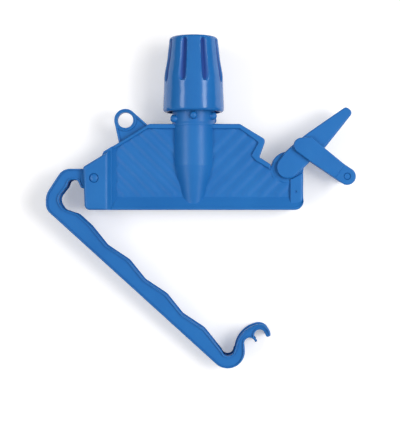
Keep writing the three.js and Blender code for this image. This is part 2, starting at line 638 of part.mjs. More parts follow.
// ---------------------------------------------------------------- the pole clamp
function collarNut() {
  const band = COLLAR_BAND.map(([r, y]) => [r, COLLAR_FOOT_Y + y]);
  const grip = COLLAR_GRIP.map(([r, y]) => [r, COLLAR_TOP_Y - y]);
  const mouthR = POLE_R + COLLAR_MOUTH;
  const topIn = COLLET_TOP_Y + RUN;
  const shelfY = NECK_TOP_Y + COLLET_SHOULDER / 2;
  const shelfR = COLLET_HEAD_R + 3 * RUN;
  const boreR = STUD_TIP_R + COLLAR_ROOM;
  const waistY = COLLAR_FOOT_Y + COLLAR_WAIST;
  const shell = turnedOnPole([
    [boreR, COLLAR_FOOT_Y],
    ...band,
    ...grip,
    [mouthR, COLLAR_TOP_Y],
    [mouthR, topIn],
    [POLE_R + COLLET_TOP_WALL + RUN, topIn],
    [COLLET_HEAD_R + RUN, NECK_TOP_Y + COLLET_SHOULDER],
    [shelfR, shelfY],
    [shelfR, waistY + COLLAR_NARROWING],
    [boreR - 1, waistY + 1],
    [boreR, waistY],
    [boreR, COLLAR_FOOT_Y],
  ], 48);
  const end = [[0, -FLUTE_RUN_OUT]];
  for (let k = 1; k < 6; k += 1) {
    const angle = rad(15 * k);
    end.push([FLUTE_R * Math.sin(angle), -FLUTE_RUN_OUT * Math.cos(angle)]);
  }
  const [deepR, deepY] = grip[0];
  const length = COLLAR_TOP_Y - deepY + FLUTE_R * 2;
  const cutters = [];
  for (let k = 0; k < FLUTES; k += 1) {
    const profile = [...end, [FLUTE_R, 0], [FLUTE_R, length], [0, length]];
    const flute = new THREE.LatheGeometry(profile.map(([r, y]) => new THREE.Vector2(r, y)), 16);
    flute.rotateX(-rad(FLUTE_LEAN)).translate(0, deepY, deepR + FLUTE_R - FLUTE_DEPTH);
    cutters.push(solid(flute.rotateY((2 * Math.PI * (k + 0.5)) / FLUTES)));
  }
  return shell.subtract(joined(cutters));
}

function colletSleeve() {
  const inMouth = (y) => BORE_R + (MOUTH_FLARE * (y - NECK_TOP_Y + MOUTH_DEPTH)) / MOUTH_DEPTH - RUN;
  const sleeve = turnedOnPole([
    [POLE_R, COLLET_FOOT_Y],
    [inMouth(COLLET_FOOT_Y), COLLET_FOOT_Y],
    [inMouth(NECK_TOP_Y), NECK_TOP_Y],
    [inMouth(NECK_TOP_Y), NECK_TOP_Y + RUN],
    [COLLET_HEAD_R, NECK_TOP_Y + RUN],
    [COLLET_HEAD_R, NECK_TOP_Y + COLLET_SHOULDER],
    [POLE_R + COLLET_TOP_WALL, COLLET_TOP_Y],
    [POLE_R, COLLET_TOP_Y],
    [POLE_R, COLLET_FOOT_Y],
  ]);
  const slits = [];
  const length = COLLET_HEAD + COLLET_TAIL;
  for (let k = 0; k < COLLET_SLITS; k += 1) {
    const slit = new THREE.BoxGeometry(SLIT_WIDTH, length, 2 * (COLLET_HEAD_R - POLE_R) + 2);
    slit.translate(0, COLLET_TOP_Y - SLIT_END - length / 2, (POLE_R + COLLET_HEAD_R) / 2);
    slits.push(solid(slit.rotateY((2 * Math.PI * (k + 0.5)) / COLLET_SLITS)));
  }
  return sleeve.subtract(joined(slits));
}

// ---------------------------------------------------------------- the assembly
const PLASTIC = { color: 0x2e74ba, roughness: 0.42, metalness: 0 };
const GLOSSY = { color: 0x2f76bd, roughness: 0.25, metalness: 0 };
const STEEL = { color: 0xb9bcc0, roughness: 0.3, metalness: 1 };
const pieces = {
  holder_body: [holderBody(), PLASTIC],
  gate_arm: [gateArm(), PLASTIC],
  gate_hinge_pin: [gateHingePin(), PLASTIC],
  latch_lever: [latchLever(), PLASTIC],
  lever_pivot_pin: [leverPivotPin(), STEEL],
  bail_arm_front: [bailArm(1), PLASTIC],
  bail_arm_rear: [bailArm(-1), PLASTIC],
  bail_pivot_pin: [bailPivotPin(), STEEL],
  crossbar_pin: [crossbarPin(), PLASTIC],
  crossbar_roller: [crossbarRoller(), PLASTIC],
  collet_sleeve: [colletSleeve(), GLOSSY],
  collar_nut: [collarNut(), GLOSSY],
};

const mopClip = new THREE.Group();
Object.entries(pieces).forEach(([name, [made, finish]]) => {
  const mesh = new THREE.Mesh(geometryOf(made), new THREE.MeshStandardMaterial(finish));
  mesh.name = name;
  mopClip.add(mesh);
});

export default mopClip;
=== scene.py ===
# %% [markdown]
# # A blue plastic mop clamp, seen straight from above
#
# The object is a clip for a looped wet mop. It lies on its back on a white table. The script dresses the
# solids of the frame: each moulding is drawn again as smooth surfaces with the small round edges that a
# mould gives, and gets a finish made of noise, bumps and fine scratches. All sizes below are millimetres
# in the frame's own axes: +Y up the pole, +Z out of the front face. Blender works in metres, so points
# are scaled once, at the end.

# %% The frame
import bpy
import numpy as np
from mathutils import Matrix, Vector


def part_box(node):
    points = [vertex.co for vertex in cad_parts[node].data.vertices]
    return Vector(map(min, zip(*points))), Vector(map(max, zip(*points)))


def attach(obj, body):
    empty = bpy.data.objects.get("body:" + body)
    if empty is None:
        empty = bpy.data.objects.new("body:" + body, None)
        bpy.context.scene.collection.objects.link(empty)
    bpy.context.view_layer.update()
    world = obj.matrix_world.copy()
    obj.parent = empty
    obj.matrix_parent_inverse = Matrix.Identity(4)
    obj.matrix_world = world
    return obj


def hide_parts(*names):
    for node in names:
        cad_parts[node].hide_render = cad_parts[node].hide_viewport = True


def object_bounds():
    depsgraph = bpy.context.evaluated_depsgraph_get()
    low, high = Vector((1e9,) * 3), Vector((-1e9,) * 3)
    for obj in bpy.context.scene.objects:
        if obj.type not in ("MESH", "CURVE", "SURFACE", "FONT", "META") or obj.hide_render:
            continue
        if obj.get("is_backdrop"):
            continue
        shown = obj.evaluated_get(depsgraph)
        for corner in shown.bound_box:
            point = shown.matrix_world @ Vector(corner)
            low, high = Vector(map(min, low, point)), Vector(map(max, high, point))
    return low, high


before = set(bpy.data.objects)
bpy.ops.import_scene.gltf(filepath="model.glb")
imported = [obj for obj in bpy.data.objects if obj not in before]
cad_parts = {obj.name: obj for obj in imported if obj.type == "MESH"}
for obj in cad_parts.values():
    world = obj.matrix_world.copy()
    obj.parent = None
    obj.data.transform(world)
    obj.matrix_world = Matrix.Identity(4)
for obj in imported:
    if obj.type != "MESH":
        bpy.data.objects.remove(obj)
cad_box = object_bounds()
MM = 0.001


def place(node):
    """The lowest and highest corner of a CAD node, in millimetres."""
    low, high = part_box(node)
    return np.array(low) / MM, np.array(high) / MM


for node in ("holder_body", "gate_arm", "collar_nut"):
    print(node, *(np.round(corner, 1) for corner in place(node)))

# %% [markdown]
# ## Outlines
#
# A moulding of this kind is drawn by its maker as flat outlines, with a radius at each corner. So the
# first tools make outlines: an arc, a polygon whose corners are rounded, and an outline moved inwards by
# a given amount, which gives the rounded rim of a plate. Each works on whole arrays of points.

# %% Tools for outlines


def arc(x, y, r, start, end, steps):
    """Points of an arc about (x, y), from one angle to the other in degrees, both ends included."""
    a = np.radians(np.linspace(start, end, steps + 1))
    return np.stack([x + r * np.cos(a), y + r * np.sin(a)], axis=1)


def turned(points, degrees, about=(0, 0)):
    """Points turned about the origin and then moved to a place."""
    c, s = np.cos(np.radians(degrees)), np.sin(np.radians(degrees))
    return np.atleast_2d(points) @ np.array([[c, s], [-s, c]]) + np.array(about)


def rounded(corners, step=7.0):
    """A closed outline from corners (x, y, radius).

    A corner's arc touches the two edges that meet there: its centre lies on the line that halves the corner's
    angle, at radius / sin(half the angle). The arc is cut into steps of about the given number of degrees.
    """
    points = []
    for k, corner in enumerate(corners):
        here = np.array(corner[:2], float)
        radius = corner[2] if len(corner) > 2 else 0
        back = np.array(corners[k - 1][:2]) - here
        ahead = np.array(corners[(k + 1) % len(corners)][:2]) - here
        back, ahead = back / np.linalg.norm(back), ahead / np.linalg.norm(ahead)
        half = np.arccos(np.clip(back @ ahead, -1, 1)) / 2
        if not radius or half > np.radians(88):
            points.append(here[None])
            continue
        centre = here + (back + ahead) / np.linalg.norm(back + ahead) * radius / np.sin(half)
        start = here + back * radius / np.tan(half) - centre
        end = here + ahead * radius / np.tan(half) - centre
        sweep = np.arctan2(start[0] * end[1] - start[1] * end[0], start @ end)
        steps = max(2, int(np.ceil(abs(np.degrees(sweep)) / step)))
        first = np.degrees(np.arctan2(start[1], start[0]))
        points.append(arc(*centre, radius, first, first + np.degrees(sweep), steps))
    return np.concatenate(points)


def inset(outline, depth):
    """An anticlockwise outline moved inwards: each point slides along the line that halves its corner."""
    ahead = np.roll(outline, -1, axis=0) - outline
    ahead /= np.linalg.norm(ahead, axis=1, keepdims=True)
    inward = np.stack([-ahead[:, 1], ahead[:, 0]], axis=1)
    both = inward + np.roll(inward, 1, axis=0)
    mitre = both / np.maximum(np.sum(both * both, axis=1, keepdims=True) / 2, 0.35)
    return outline + mitre * np.reshape(depth, (-1, 1))


# %% [markdown]
# ## Surfaces
#
# Three tools turn outlines into closed surfaces. `stack` lays rings of equal count over each other and
# closes both ends. `plate` is a stack whose edges follow a quarter circle, as on any moulding.
# `turned_piece` carries a profile round an axis. They give points and faces, which `piece` joins into one
# object.

# %% Tools for surfaces


def stack(rings):
    """A closed surface through rings of points, an array of shape (rings, points, 3), with flat ends."""
    rings = np.asarray(rings, float)
    count, size = rings.shape[:2]
    here = np.arange(count * size).reshape(count, size)
    beside = np.roll(here, -1, axis=1)
    sides = np.stack([here[:-1], beside[:-1], beside[1:], here[1:]], axis=-1).reshape(-1, 4)
    ends = [here[0, ::-1].tolist(), here[-1].tolist()]
    return rings.reshape(-1, 3), sides.tolist() + ends


def at_height(outline, z):
    """A flat outline as points in space."""
    return np.column_stack([outline, np.full(len(outline), z)])


def with_hole(rings, centre, radius, depth, lip=0.25, spokes=48):
    """Rings of a stack, carried on from the face to a round blind hole.

    The face is drawn as spokes from its outline to the hole, so the outline has to be visible from the hole's
    centre as a whole. Besides its own corners it gets a point wherever a ray in one of the even directions
    meets it: a ray along d meets the edge e that starts at a at the distance cross(a, e) / cross(d, e), and
    cross(a, d) / cross(d, e) of the way along that edge. The other rings get points at the same shares of
    their edges. The hole's own edge is rounded by a quarter circle.
    """
    face = np.asarray(rings[-1])[:, :2] - centre
    edge = np.roll(face, -1, axis=0) - face
    own = np.arctan2(face[:, 1], face[:, 0])
    even = np.linspace(-np.pi, np.pi, spokes, endpoint=False)
    apart = np.abs(np.angle(np.exp(1j * (even[:, None] - own)))).min(axis=1)
    even = even[apart > 0.02]
    ray = np.stack([np.cos(even), np.sin(even)], axis=1)[:, None]
    across = ray[..., 0] * edge[:, 1] - ray[..., 1] * edge[:, 0]
    across = np.where(np.abs(across) < 1e-9, 1e-9, across)
    far = (face[:, 0] * edge[:, 1] - face[:, 1] * edge[:, 0]) / across
    share = (face[:, 0] * ray[..., 1] - face[:, 1] * ray[..., 0]) / across
    far = np.where((far <= 0) | (share < 0) | (share >= 1), np.inf, far)
    hit = far.argmin(axis=1)
    at = np.sort(np.concatenate([np.arange(len(face)), hit + share[np.arange(len(hit)), hit]]))
    corner = at.astype(int)
    part = (at - corner)[:, None]
    rings = [
        (1 - part) * np.asarray(ring)[corner] + part * np.roll(ring, -1, axis=0)[corner] for ring in rings
    ]
    face = rings[-1]
    angle = np.unwrap(np.arctan2(face[:, 1] - centre[1], face[:, 0] - centre[0]))
    turn = np.radians([90, 60, 30, 0])
    steps = [(radius + lip * (1 - np.cos(a)), -lip * (1 - np.sin(a))) for a in turn] + [(radius, -depth)]
    for r, drop in steps:
        circle = np.column_stack([centre[0] + r * np.cos(angle), centre[1] + r * np.sin(angle)])
        rings.append(at_height(circle, face[0, 2] + drop))
    return rings


def plate_rings(outline, low, high, edge, steps=3, low_edge=None):
    """The rings of a plate between two heights whose edges are rounded.

    At the angle t the ring lies edge * (1 - sin t) inside the outline and edge * (1 - cos t) from the face.
    """
    low_edge = edge if low_edge is None else low_edge
    t = np.linspace(0, np.pi / 2, steps + 1)
    rings = []
    for angle in t:
        ring = inset(outline, low_edge * (1 - np.sin(angle)))
        rings.append(at_height(ring, low + low_edge * (1 - np.cos(angle))))
    for angle in t[::-1]:
        ring = inset(outline, edge * (1 - np.sin(angle)))
        rings.append(at_height(ring, high - edge * (1 - np.cos(angle))))
    return rings


def plate(*outline_and_sizes, **extra):
    """A plate as a closed surface."""
    return stack(plate_rings(*outline_and_sizes, **extra))


def turned_piece(profile, centre=(0, 0, 0), axis="y", sides=96):
    """A profile of (radius, height) carried round an axis.

    The profile starts and ends on the axis, or closes on itself as a ring does. Its first and last points
    with radius 0 become poles, closed by triangles.
    """
    profile = np.asarray(profile, float)
    a = np.linspace(0, 2 * np.pi, sides, endpoint=False)
    poles = profile[0, 0] == 0
    rim = profile[1:-1] if poles else profile
    across = np.stack([np.sin(a), np.cos(a)], axis=1)
    rings = rim[:, :1, None] * across[None]
    height = np.broadcast_to(rim[:, 1, None, None], (len(rim), sides, 1))
    points = np.concatenate([rings, height], axis=2).reshape(-1, 3)
    here = np.arange(len(rim) * sides).reshape(len(rim), sides)
    beside = np.roll(here, -1, axis=1)
    if poles:
        sheet = np.stack([here[:-1], here[1:], beside[1:], beside[:-1]], axis=-1).reshape(-1, 4).tolist()
        points = np.concatenate([points, [[0, 0, profile[0, 1]], [0, 0, profile[-1, 1]]]])
        low, high = len(points) - 2, len(points) - 1
        fans = [(low, p, q) for p, q in zip(here[0].tolist(), beside[0].tolist())]
        fans += [(high, q, p) for p, q in zip(here[-1].tolist(), beside[-1].tolist())]
        faces = sheet + fans
    else:
        below, above = here, np.roll(here, -1, axis=0)
        sheet = np.stack([below, above, np.roll(above, -1, axis=1), np.roll(below, -1, axis=1)], axis=-1)
        faces = sheet.reshape(-1, 4).tolist()
    order = {"y": [0, 2, 1], "z": [0, 1, 2]}[axis]
    return points[:, order] + np.array(centre), faces


def signed_volume(points, faces):
    """The volume inside closed faces: a sixth of the triple products of their triangles' corners.

    It comes out below zero where the faces look inwards.
    """
    total = 0.0
    for size in {len(face) for face in faces}:
        block = points[np.array([face for face in faces if len(face) == size])]
        first = block[:, 0]
        for k in range(1, size - 1):
            total += np.einsum("ij,ij->", first, np.cross(block[:, k], block[:, k + 1]))
    return total / 6


def facing_out(part):
    """The part with its faces turned round if they point inwards."""
    points, faces = part
    if signed_volume(points, faces) < 0:
        faces = [face[::-1] for face in faces]
    return points, faces


SMOOTH_UP_TO = np.radians(38)


def piece(name, parts, body, material, replaces=()):
    """Joins closed parts into one object that rides on a body. Points come in millimetres."""
    points, faces, start = [], [], 0
    for part in map(facing_out, parts):
        points.append(part[0])
        faces += [[index + start for index in face] for face in part[1]]
        start += len(part[0])
    mesh = bpy.data.meshes.new(name)
    mesh.from_pydata((np.concatenate(points) * MM).tolist(), [], faces)
    mesh.polygons.foreach_set("use_smooth", np.ones(len(mesh.polygons), bool))
    mesh.set_sharp_from_angle(angle=SMOOTH_UP_TO)
    mesh.materials.append(material)
    made = bpy.data.objects.new(name, mesh)
    bpy.context.scene.collection.objects.link(made)
    normals = made.modifiers.new("Even normals", "WEIGHTED_NORMAL")
    normals.keep_sharp = True
    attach(made, body)
    if replaces:
        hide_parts(*replaces)
    return made

# %% [markdown]
# ## Finishes
#
# The plastic is a coloured polypropylene: a strong blue, semi-gloss, with a very fine mould grain, faint
# flow marks where the colour is a touch lighter, and hairline scratches from use. Every pattern reads the
# piece's own coordinates, so it stays with the piece when it moves. The collar is the same plastic from a
# polished mould. Its flutes are made matt, and shade is painted into their colour: a darker blue, led by
# an attribute that the collar's mesh carries.

# %% Tools for finishes


def new_material(name):
    """An empty node material with a Principled shader, and a short way to add and link nodes."""
    material = bpy.data.materials.new(name)
    material.use_nodes = True
    tree = material.node_tree
    shader = tree.nodes["Principled BSDF"]

    def add(kind, **settings):
        """Adds a node: a setting is a socket's value, or else a property of the node."""
        node = tree.nodes.new(kind)
        for key, value in settings.items():
            if key in node.inputs:
                node.inputs[key].default_value = value
            else:
                setattr(node, key, value)
        return node

    return material, shader, add, tree.links.new


def noise_between(add, link, where, scale, low, high, detail=4.0, stretch=None):
    """A noise in object coordinates whose value is spread between two numbers."""
    coords = where
    if stretch is not None:
        mapping = add("ShaderNodeMapping")
        mapping.inputs["Scale"].default_value = stretch
        link(where, mapping.inputs["Vector"])
        coords = mapping.outputs["Vector"]
    noise = add("ShaderNodeTexNoise", Scale=scale, Detail=detail)
    link(coords, noise.inputs["Vector"])
    spread = add("ShaderNodeMapRange")
    spread.inputs["From Min"].default_value = 0.3
    spread.inputs["From Max"].default_value = 0.7
    spread.inputs["To Min"].default_value = low
    spread.inputs["To Max"].default_value = high
    link(noise.outputs["Fac"], spread.inputs["Value"])
    return spread.outputs["Result"]


def moulded_plastic(name, deep, pale, gloss, grain, shine=0.38):
    """Coloured plastic: slow colour drift, uneven gloss, mould grain and hairline scratches.

    A noise's scale is in cells per metre, so 38 is a drift over an inch and 3200 a grain of a third of a mm.
    """
    material, shader, add, link = new_material(name)
    where = add("ShaderNodeTexCoord").outputs["Object"]
    drift = noise_between(add, link, where, 38.0, 0.0, 1.0)
    colour = add("ShaderNodeMix", data_type="RGBA")
    colour.inputs["A"].default_value = (*deep, 1)
    colour.inputs["B"].default_value = (*pale, 1)
    link(drift, colour.inputs["Factor"])
    link(colour.outputs["Result"], shader.inputs["Base Color"])
    rough = noise_between(add, link, where, 260.0, gloss[0], gloss[1], detail=6.0)
    scratches = noise_between(add, link, where, 900.0, 0.0, 0.06, stretch=(1.0, 0.06, 1.0))
    total = add("ShaderNodeMath", operation="ADD")
    link(rough, total.inputs[0])
    link(scratches, total.inputs[1])
    link(total.outputs["Value"], shader.inputs["Roughness"])
    fine = noise_between(add, link, where, 3200.0, 0.0, 1.0, detail=2.0)
    broad = noise_between(add, link, where, 120.0, 0.0, 1.0, detail=2.0)
    fine_bump = add("ShaderNodeBump", Strength=grain, Distance=0.00004)
    link(fine, fine_bump.inputs["Height"])
    broad_bump = add("ShaderNodeBump", Strength=0.35, Distance=0.00018)
    link(broad, broad_bump.inputs["Height"])
    link(fine_bump.outputs["Normal"], broad_bump.inputs["Normal"])
    link(broad_bump.outputs["Normal"], shader.inputs["Normal"])
    shader.inputs["IOR"].default_value = 1.5
    shader.inputs["Specular IOR Level"].default_value = shine
    shader.inputs["Subsurface Weight"].default_value = 0.04
    shader.inputs["Subsurface Radius"].default_value = (0.0004, 0.0009, 0.0018)
    return material


def matt_with_painted_shade(material, flute_shade, matt=0.55):
    """Makes the plastic darker and matt where the mesh's own attribute "hollow" is 1.

    The darker colour is painted shade in the collar's flutes. A Mix node keeps one set of sockets for each
    kind of value, so its two inputs and its result are picked by number.
    """
    tree = material.node_tree
    shader = tree.nodes["Principled BSDF"]
    depth = tree.nodes.new("ShaderNodeAttribute")
    depth.attribute_name = "flute_shade"
    # The Base Color mix paints shade into the flutes; roughness and specular level make them matt.
    for socket, value in (("Base Color", (*flute_shade, 1)), ("Roughness", matt), ("Specular IOR Level", 0.1)):
        was = shader.inputs[socket]
        kind = "RGBA" if socket == "Base Color" else "FLOAT"
        mix = tree.nodes.new("ShaderNodeMix")
        mix.data_type = kind
        first, second, result = {"RGBA": (6, 7, 2), "FLOAT": (2, 3, 0)}[kind]
        if was.is_linked:
            tree.links.new(was.links[0].from_socket, mix.inputs[first])
        else:
            mix.inputs[first].default_value = was.default_value
        mix.inputs[second].default_value = value
        tree.links.new(depth.outputs["Fac"], mix.inputs["Factor"])
        tree.links.new(mix.outputs[result], was)


def drawn_steel(name):
    """Drawn steel wire: fine lines along the pin and a slight tarnish."""
    material, shader, add, link = new_material(name)
    where = add("ShaderNodeTexCoord").outputs["Object"]
    tarnish = noise_between(add, link, where, 90.0, 0.0, 1.0)
    colour = add("ShaderNodeMix", data_type="RGBA")
    colour.inputs["A"].default_value = (0.46, 0.47, 0.49, 1)
    colour.inputs["B"].default_value = (0.62, 0.63, 0.64, 1)
    link(tarnish, colour.inputs["Factor"])
    link(colour.outputs["Result"], shader.inputs["Base Color"])
    lines = noise_between(add, link, where, 1500.0, 0.24, 0.4, stretch=(1.0, 1.0, 0.04))
    link(lines, shader.inputs["Roughness"])
    bump = add("ShaderNodeBump", Strength=0.25, Distance=0.00003)
    link(lines, bump.inputs["Height"])
    link(bump.outputs["Normal"], shader.inputs["Normal"])
    shader.inputs["Metallic"].default_value = 1.0
    return material


# %% The finishes
BLUE_DEEP = (0.010, 0.140, 0.440)
BLUE_PALE = (0.014, 0.160, 0.475)
body_blue = moulded_plastic("body_blue", BLUE_DEEP, BLUE_PALE, (0.30, 0.38), 0.4)
arm_blue = moulded_plastic("arm_blue", BLUE_DEEP, BLUE_PALE, (0.30, 0.38), 0.4)
collar_blue = moulded_plastic("collar_blue", BLUE_DEEP, BLUE_PALE, (0.12, 0.17), 0.1, shine=0.5)
# A darker blue for the collar's flutes: painted shade.
FLUTE_SHADE_BLUE = (0.028, 0.078, 0.320)
matt_with_painted_shade(collar_blue, FLUTE_SHADE_BLUE)
inner_blue = moulded_plastic("inner_blue", BLUE_DEEP, BLUE_PALE, (0.3, 0.38), 0.4)
pin_steel = drawn_steel("pin_steel")
print("finishes:", *(made.name for made in (body_blue, arm_blue, collar_blue, inner_blue, pin_steel)))

# %% [markdown]
# ## The body
#
# The body is one moulding. In CAD it is a thick plate, sunk on both sides to leave a rim, a wide jaw
# along the bottom edge, a block for the gate's hinge, an ear for the lever and a tube for the pole. It is
# drawn here as that family of closed plates and turned forms, each reaching into its neighbour, so that
# every visible edge has its own small radius.

# %% Main sizes of the body
HALF_WIDTH = 82.8  # the body reaches this far to both sides
JAW_Y = -13.5  # its bottom edge, the jaw's lip
TOP_Y = 51.5  # its top edge
TOP_LEFT_X = -33.5  # the top edge runs from here
TOP_RIGHT_X = 34.9  # to here
SLOPE = 0.617  # fall of the left shoulder, in mm for each mm
HINGE = np.array([-74.6, 10.5])  # the gate turns about this point
LEVER_PIVOT = np.array([71.1, 18.6])  # and the lever about this one
SHARP = 0.3  # edge of a form that hardly shows


def slope_y(x):
    """Height of the sloping left shoulder."""
    return TOP_Y - SLOPE * (TOP_LEFT_X - x)


def from_lever(*points):
    """Corners measured from the lever's pivot, each with its radius if it has one."""
    return [tuple(LEVER_PIVOT + point[:2]) + tuple(point[2:]) for point in points]


# %% [markdown]
# ### Rim, panels and ribs
#
# The rim is what is left of the plate's full thickness round the two sunk panels. The left side is one
# bent strip. The right side has the V-notch that clears the lever's knuckle, and ends at the round room
# of the fork.

# %% Rim
RIM = 8.5  # half depth
RIM_EDGE = 1.1
EAR = 7.0  # half depth of the lever's ear
FORK_R = 12.95  # round room for the lever's fork
PANEL_TOP = 47.8  # lower edge of the rim along the top
PANEL_CORNER = TOP_LEFT_X - 1.2
rim_left = rounded([
    (-62, slope_y(-62)), (-62, PANEL_TOP - SLOPE * (PANEL_CORNER + 62)), (PANEL_CORNER, PANEL_TOP, 1.5),
    (4, PANEL_TOP), (4, TOP_Y), (TOP_LEFT_X, TOP_Y, 3),
])
room_top = arc(*LEVER_PIVOT, FORK_R, 169.9, 188.2, 6)
notch_outer = from_lever((-16.55, 20.95, 3.2), (-21.3, 7.8, 0.8))
notch_inner = from_lever((-24.1, 4.9, 1), (-27.8, 8.9, 1), (-22.3, 18.9, 1))
rim_right = rounded([
    (4, TOP_Y), (4, PANEL_TOP), (34.7, PANEL_TOP, 1), *notch_inner[::-1],
    *room_top[::-1].tolist(), *notch_outer[::-1], (TOP_RIGHT_X, TOP_Y, 1.5),
])
print("rim:", len(rim_left), "and", len(rim_right), "points round its two strips")

# %% [markdown]
# Under the ear stands a column that closes the body's right side. Its top is hollowed round the lever's
# hub and then climbs in a straight line, along the edge of the lever when that is at its lowest.

# %% Column under the ear
HUB_ROOM_R = 9.0
LOWEST = 32.5  # degrees above the X axis: the lever's edge at its lowest
DIMPLE = (77.1, 0.4)  # a small blind hole in the column
column_top = arc(*LEVER_PIVOT, HUB_ROOM_R, LOWEST - 90, -78.4, 5)
climb = (HALF_WIDTH - column_top[0, 0]) * np.tan(np.radians(LOWEST))
column = rounded([
    (HALF_WIDTH, -9), (HALF_WIDTH, column_top[0, 1] + climb), *column_top.tolist(), (72.9, -9),
])
fork_floor = rounded([
    (62, 8), (HALF_WIDTH, 8), (HALF_WIDTH, LEVER_PIVOT[1]), tuple(LEVER_PIVOT), (59.1, 20.4), (57, 16.6),
])


def column_edge(outline):
    """The column's edge is a wide round on its right side and a narrow one elsewhere."""
    return 0.7 + 1.5 * (outline[:, 0] > HALF_WIDTH - 0.1)


rim = [
    plate(rim_left, -RIM, RIM, RIM_EDGE, steps=4),
    plate(rim_right, -RIM, RIM, RIM_EDGE, steps=4),
    stack(with_hole(plate_rings(column, -RIM, RIM, column_edge(column), steps=6), DIMPLE, 0.8, 0.9)),
    plate(fork_floor, 0.2 - EAR, EAR - 0.2, SHARP),
]

# %% [markdown]
# The panels carry low slanting ribs that stiffen them: they fan out from the socket at 45 degrees on both
# sides. A rib's line is y = start + |x|, cut where it meets the tube on one end and the panel's border on
# the other.

# %% Panels and ribs
PANEL = 6.2  # half depth of the sunk panels
FOOT_Y = -3.7  # their bottom edge, where the jaw's slope starts
PANEL_LEFT_X = -58.1
PANEL_RIGHT_X = 72.9
RIB_FIRST_Y = 18.7  # the highest rib's line starts here on the pole's axis
RIB_PITCH = 11.9  # measured along Y
RIBS = 8
RIB_HALF = RIB_PITCH / np.sqrt(8)
RIB_RISE = 0.8
RIB_FADE = 3.0
UNDER_RIM = 1.3  # a rib reaches this far under the rim
panel_sheet = rounded([
    (-64, -10), (80, -10), (80, 12), (60, 16), (47.6, 26), (50.6, 38), (34.6, 49.6), (TOP_LEFT_X, 49.6),
    (-64, slope_y(-64) - 2),
])
left_border = [
    (-4, FOOT_Y), (PANEL_LEFT_X, FOOT_Y), (PANEL_LEFT_X, PANEL_TOP + SLOPE * (PANEL_LEFT_X - PANEL_CORNER)),
    (PANEL_CORNER, PANEL_TOP), (-4, PANEL_TOP),
]
right_border = [
    (4, FOOT_Y), (PANEL_RIGHT_X, FOOT_Y), (PANEL_RIGHT_X, 8.1), *notch_inner,
    (34.7, PANEL_TOP), (4, PANEL_TOP),
]


def rib_ends(border, side, start_y):
    """Where the line y = start_y + |x| crosses a closed border: the sorted distances |x|."""
    border = np.array([point[:2] for point in border]) * (side, 1)
    off = border[:, 1] - border[:, 0] - start_y
    off_next, ahead = np.roll(off, -1), np.roll(border, -1, axis=0) - border
    crossing = off * off_next < 0
    share = off[crossing] / (off[crossing] - off_next[crossing])
    return np.sort(border[crossing, 0] + share * ahead[crossing, 0])


def rib(side, start_y, near, far):
    """One rib between two distances from the pole's axis.

    Its section is one hump of a cosine, rise * (1 + cos(pi * u)) / 2 for u from -1 to 1 across the rib. The
    hump grows from nothing over the first millimetres.
    """
    across = np.array([-side, 1]) / np.sqrt(2) * RIB_HALF
    stations = np.array([near, near + RIB_FADE / 2, near + RIB_FADE, far])
    middle = np.stack([side * stations, start_y + stations], axis=1)
    u = np.append(np.linspace(-1, 1, 17), [1, -1])
    grown = np.array([0, 0.5, 1, 1])[:, None]
    hump = PANEL - 0.02 + grown * RIB_RISE * (1 + np.cos(np.pi * u)) / 2
    hump[:, -2:] = PANEL - 1
    flat = middle[:, None] + u[:, None] * across
    return stack(np.concatenate([flat, hump[:, :, None]], axis=-1))


def mirrored(part):
    """The same part on the back face."""
    return part[0] * (1, 1, -1), part[1]


ribs = []
for side, border in ((-1, left_border), (1, right_border)):
    for k in range(RIBS):
        start_y = RIB_FIRST_Y - k * RIB_PITCH
        ends = rib_ends(border, side, start_y)
        if len(ends) < 2:
            continue
        reach = UNDER_RIM / np.sqrt(2)
        ribs.append(rib(side, start_y, max(ends[0], 6.0), ends[1] + reach))
ribs += [mirrored(part) for part in ribs]
panels = [plate(panel_sheet, -PANEL, PANEL, SHARP)]
print(len(ribs), "ribs on both faces")

# %% [markdown]
# ### The jaw
#
# The gate closes on the jaw, so the bottom edge widens from the panels to a flat lip. Its section is one
# profile carried along X. At the right end the bottom edge turns up in a corner: each station's section
# is squeezed upwards by the height of that corner's arc.

# %% Jaw
JAW = 10.6  # half depth of the lip
LIP_Y = -11.4  # the flat lip ends here
LIP_STEP = 0.45
CORNER_R = 6.7
JAW_EDGE = 1.2
lip_edge = arc(JAW_Y + JAW_EDGE, JAW - JAW_EDGE, JAW_EDGE, 180, 90, 4)
lip_turn = arc(LIP_Y - 0.3, JAW - 0.3, 0.3, 90, 10, 3)
slope_line = [
    (LIP_Y + 0.15, JAW - LIP_STEP - 0.25), (LIP_Y + 0.5, JAW - LIP_STEP - 0.35), (FOOT_Y + 0.3, PANEL - 0.2),
]
half_section = np.concatenate([[(JAW_Y, 0)], lip_edge, lip_turn, slope_line, [(FOOT_Y + 4, 4)]])
section = np.concatenate([half_section, half_section[:0:-1] * (1, -1)])
turn = np.radians(np.linspace(0, 84, 13))
stations = np.concatenate([[-64.0, -30.0, 0.0, 30.0, 60.0], HALF_WIDTH - CORNER_R * (1 - np.sin(turn))])
lift = np.concatenate([np.zeros(5), CORNER_R * (1 - np.cos(turn))])
share = np.clip((FOOT_Y - section[:, 0]) / (FOOT_Y - JAW_Y), 0, 1)
jaw_y = section[:, 0] + lift[:, None] * share
jaw_rings = np.stack([
    np.broadcast_to(stations[:, None], jaw_y.shape), jaw_y, np.broadcast_to(section[:, 1], jaw_y.shape),
], axis=-1)
jaw = [stack(jaw_rings)]
print("jaw:", len(stations), "sections of", len(section), "points")

# %% [markdown]
# ### The hinge block
#
# The gate's hub sits in a slot between two cheeks. The middle of the block is an outline with the slot
# cut out of its left side. Each cheek lies on it as a plate with a well rounded rim, and its right side
# slopes down to the panel, so its foot is wider than its face. The core has a small step in its top edge.
# A cheek goes on along the line below that step, so its rim has no corner too short to be rounded.

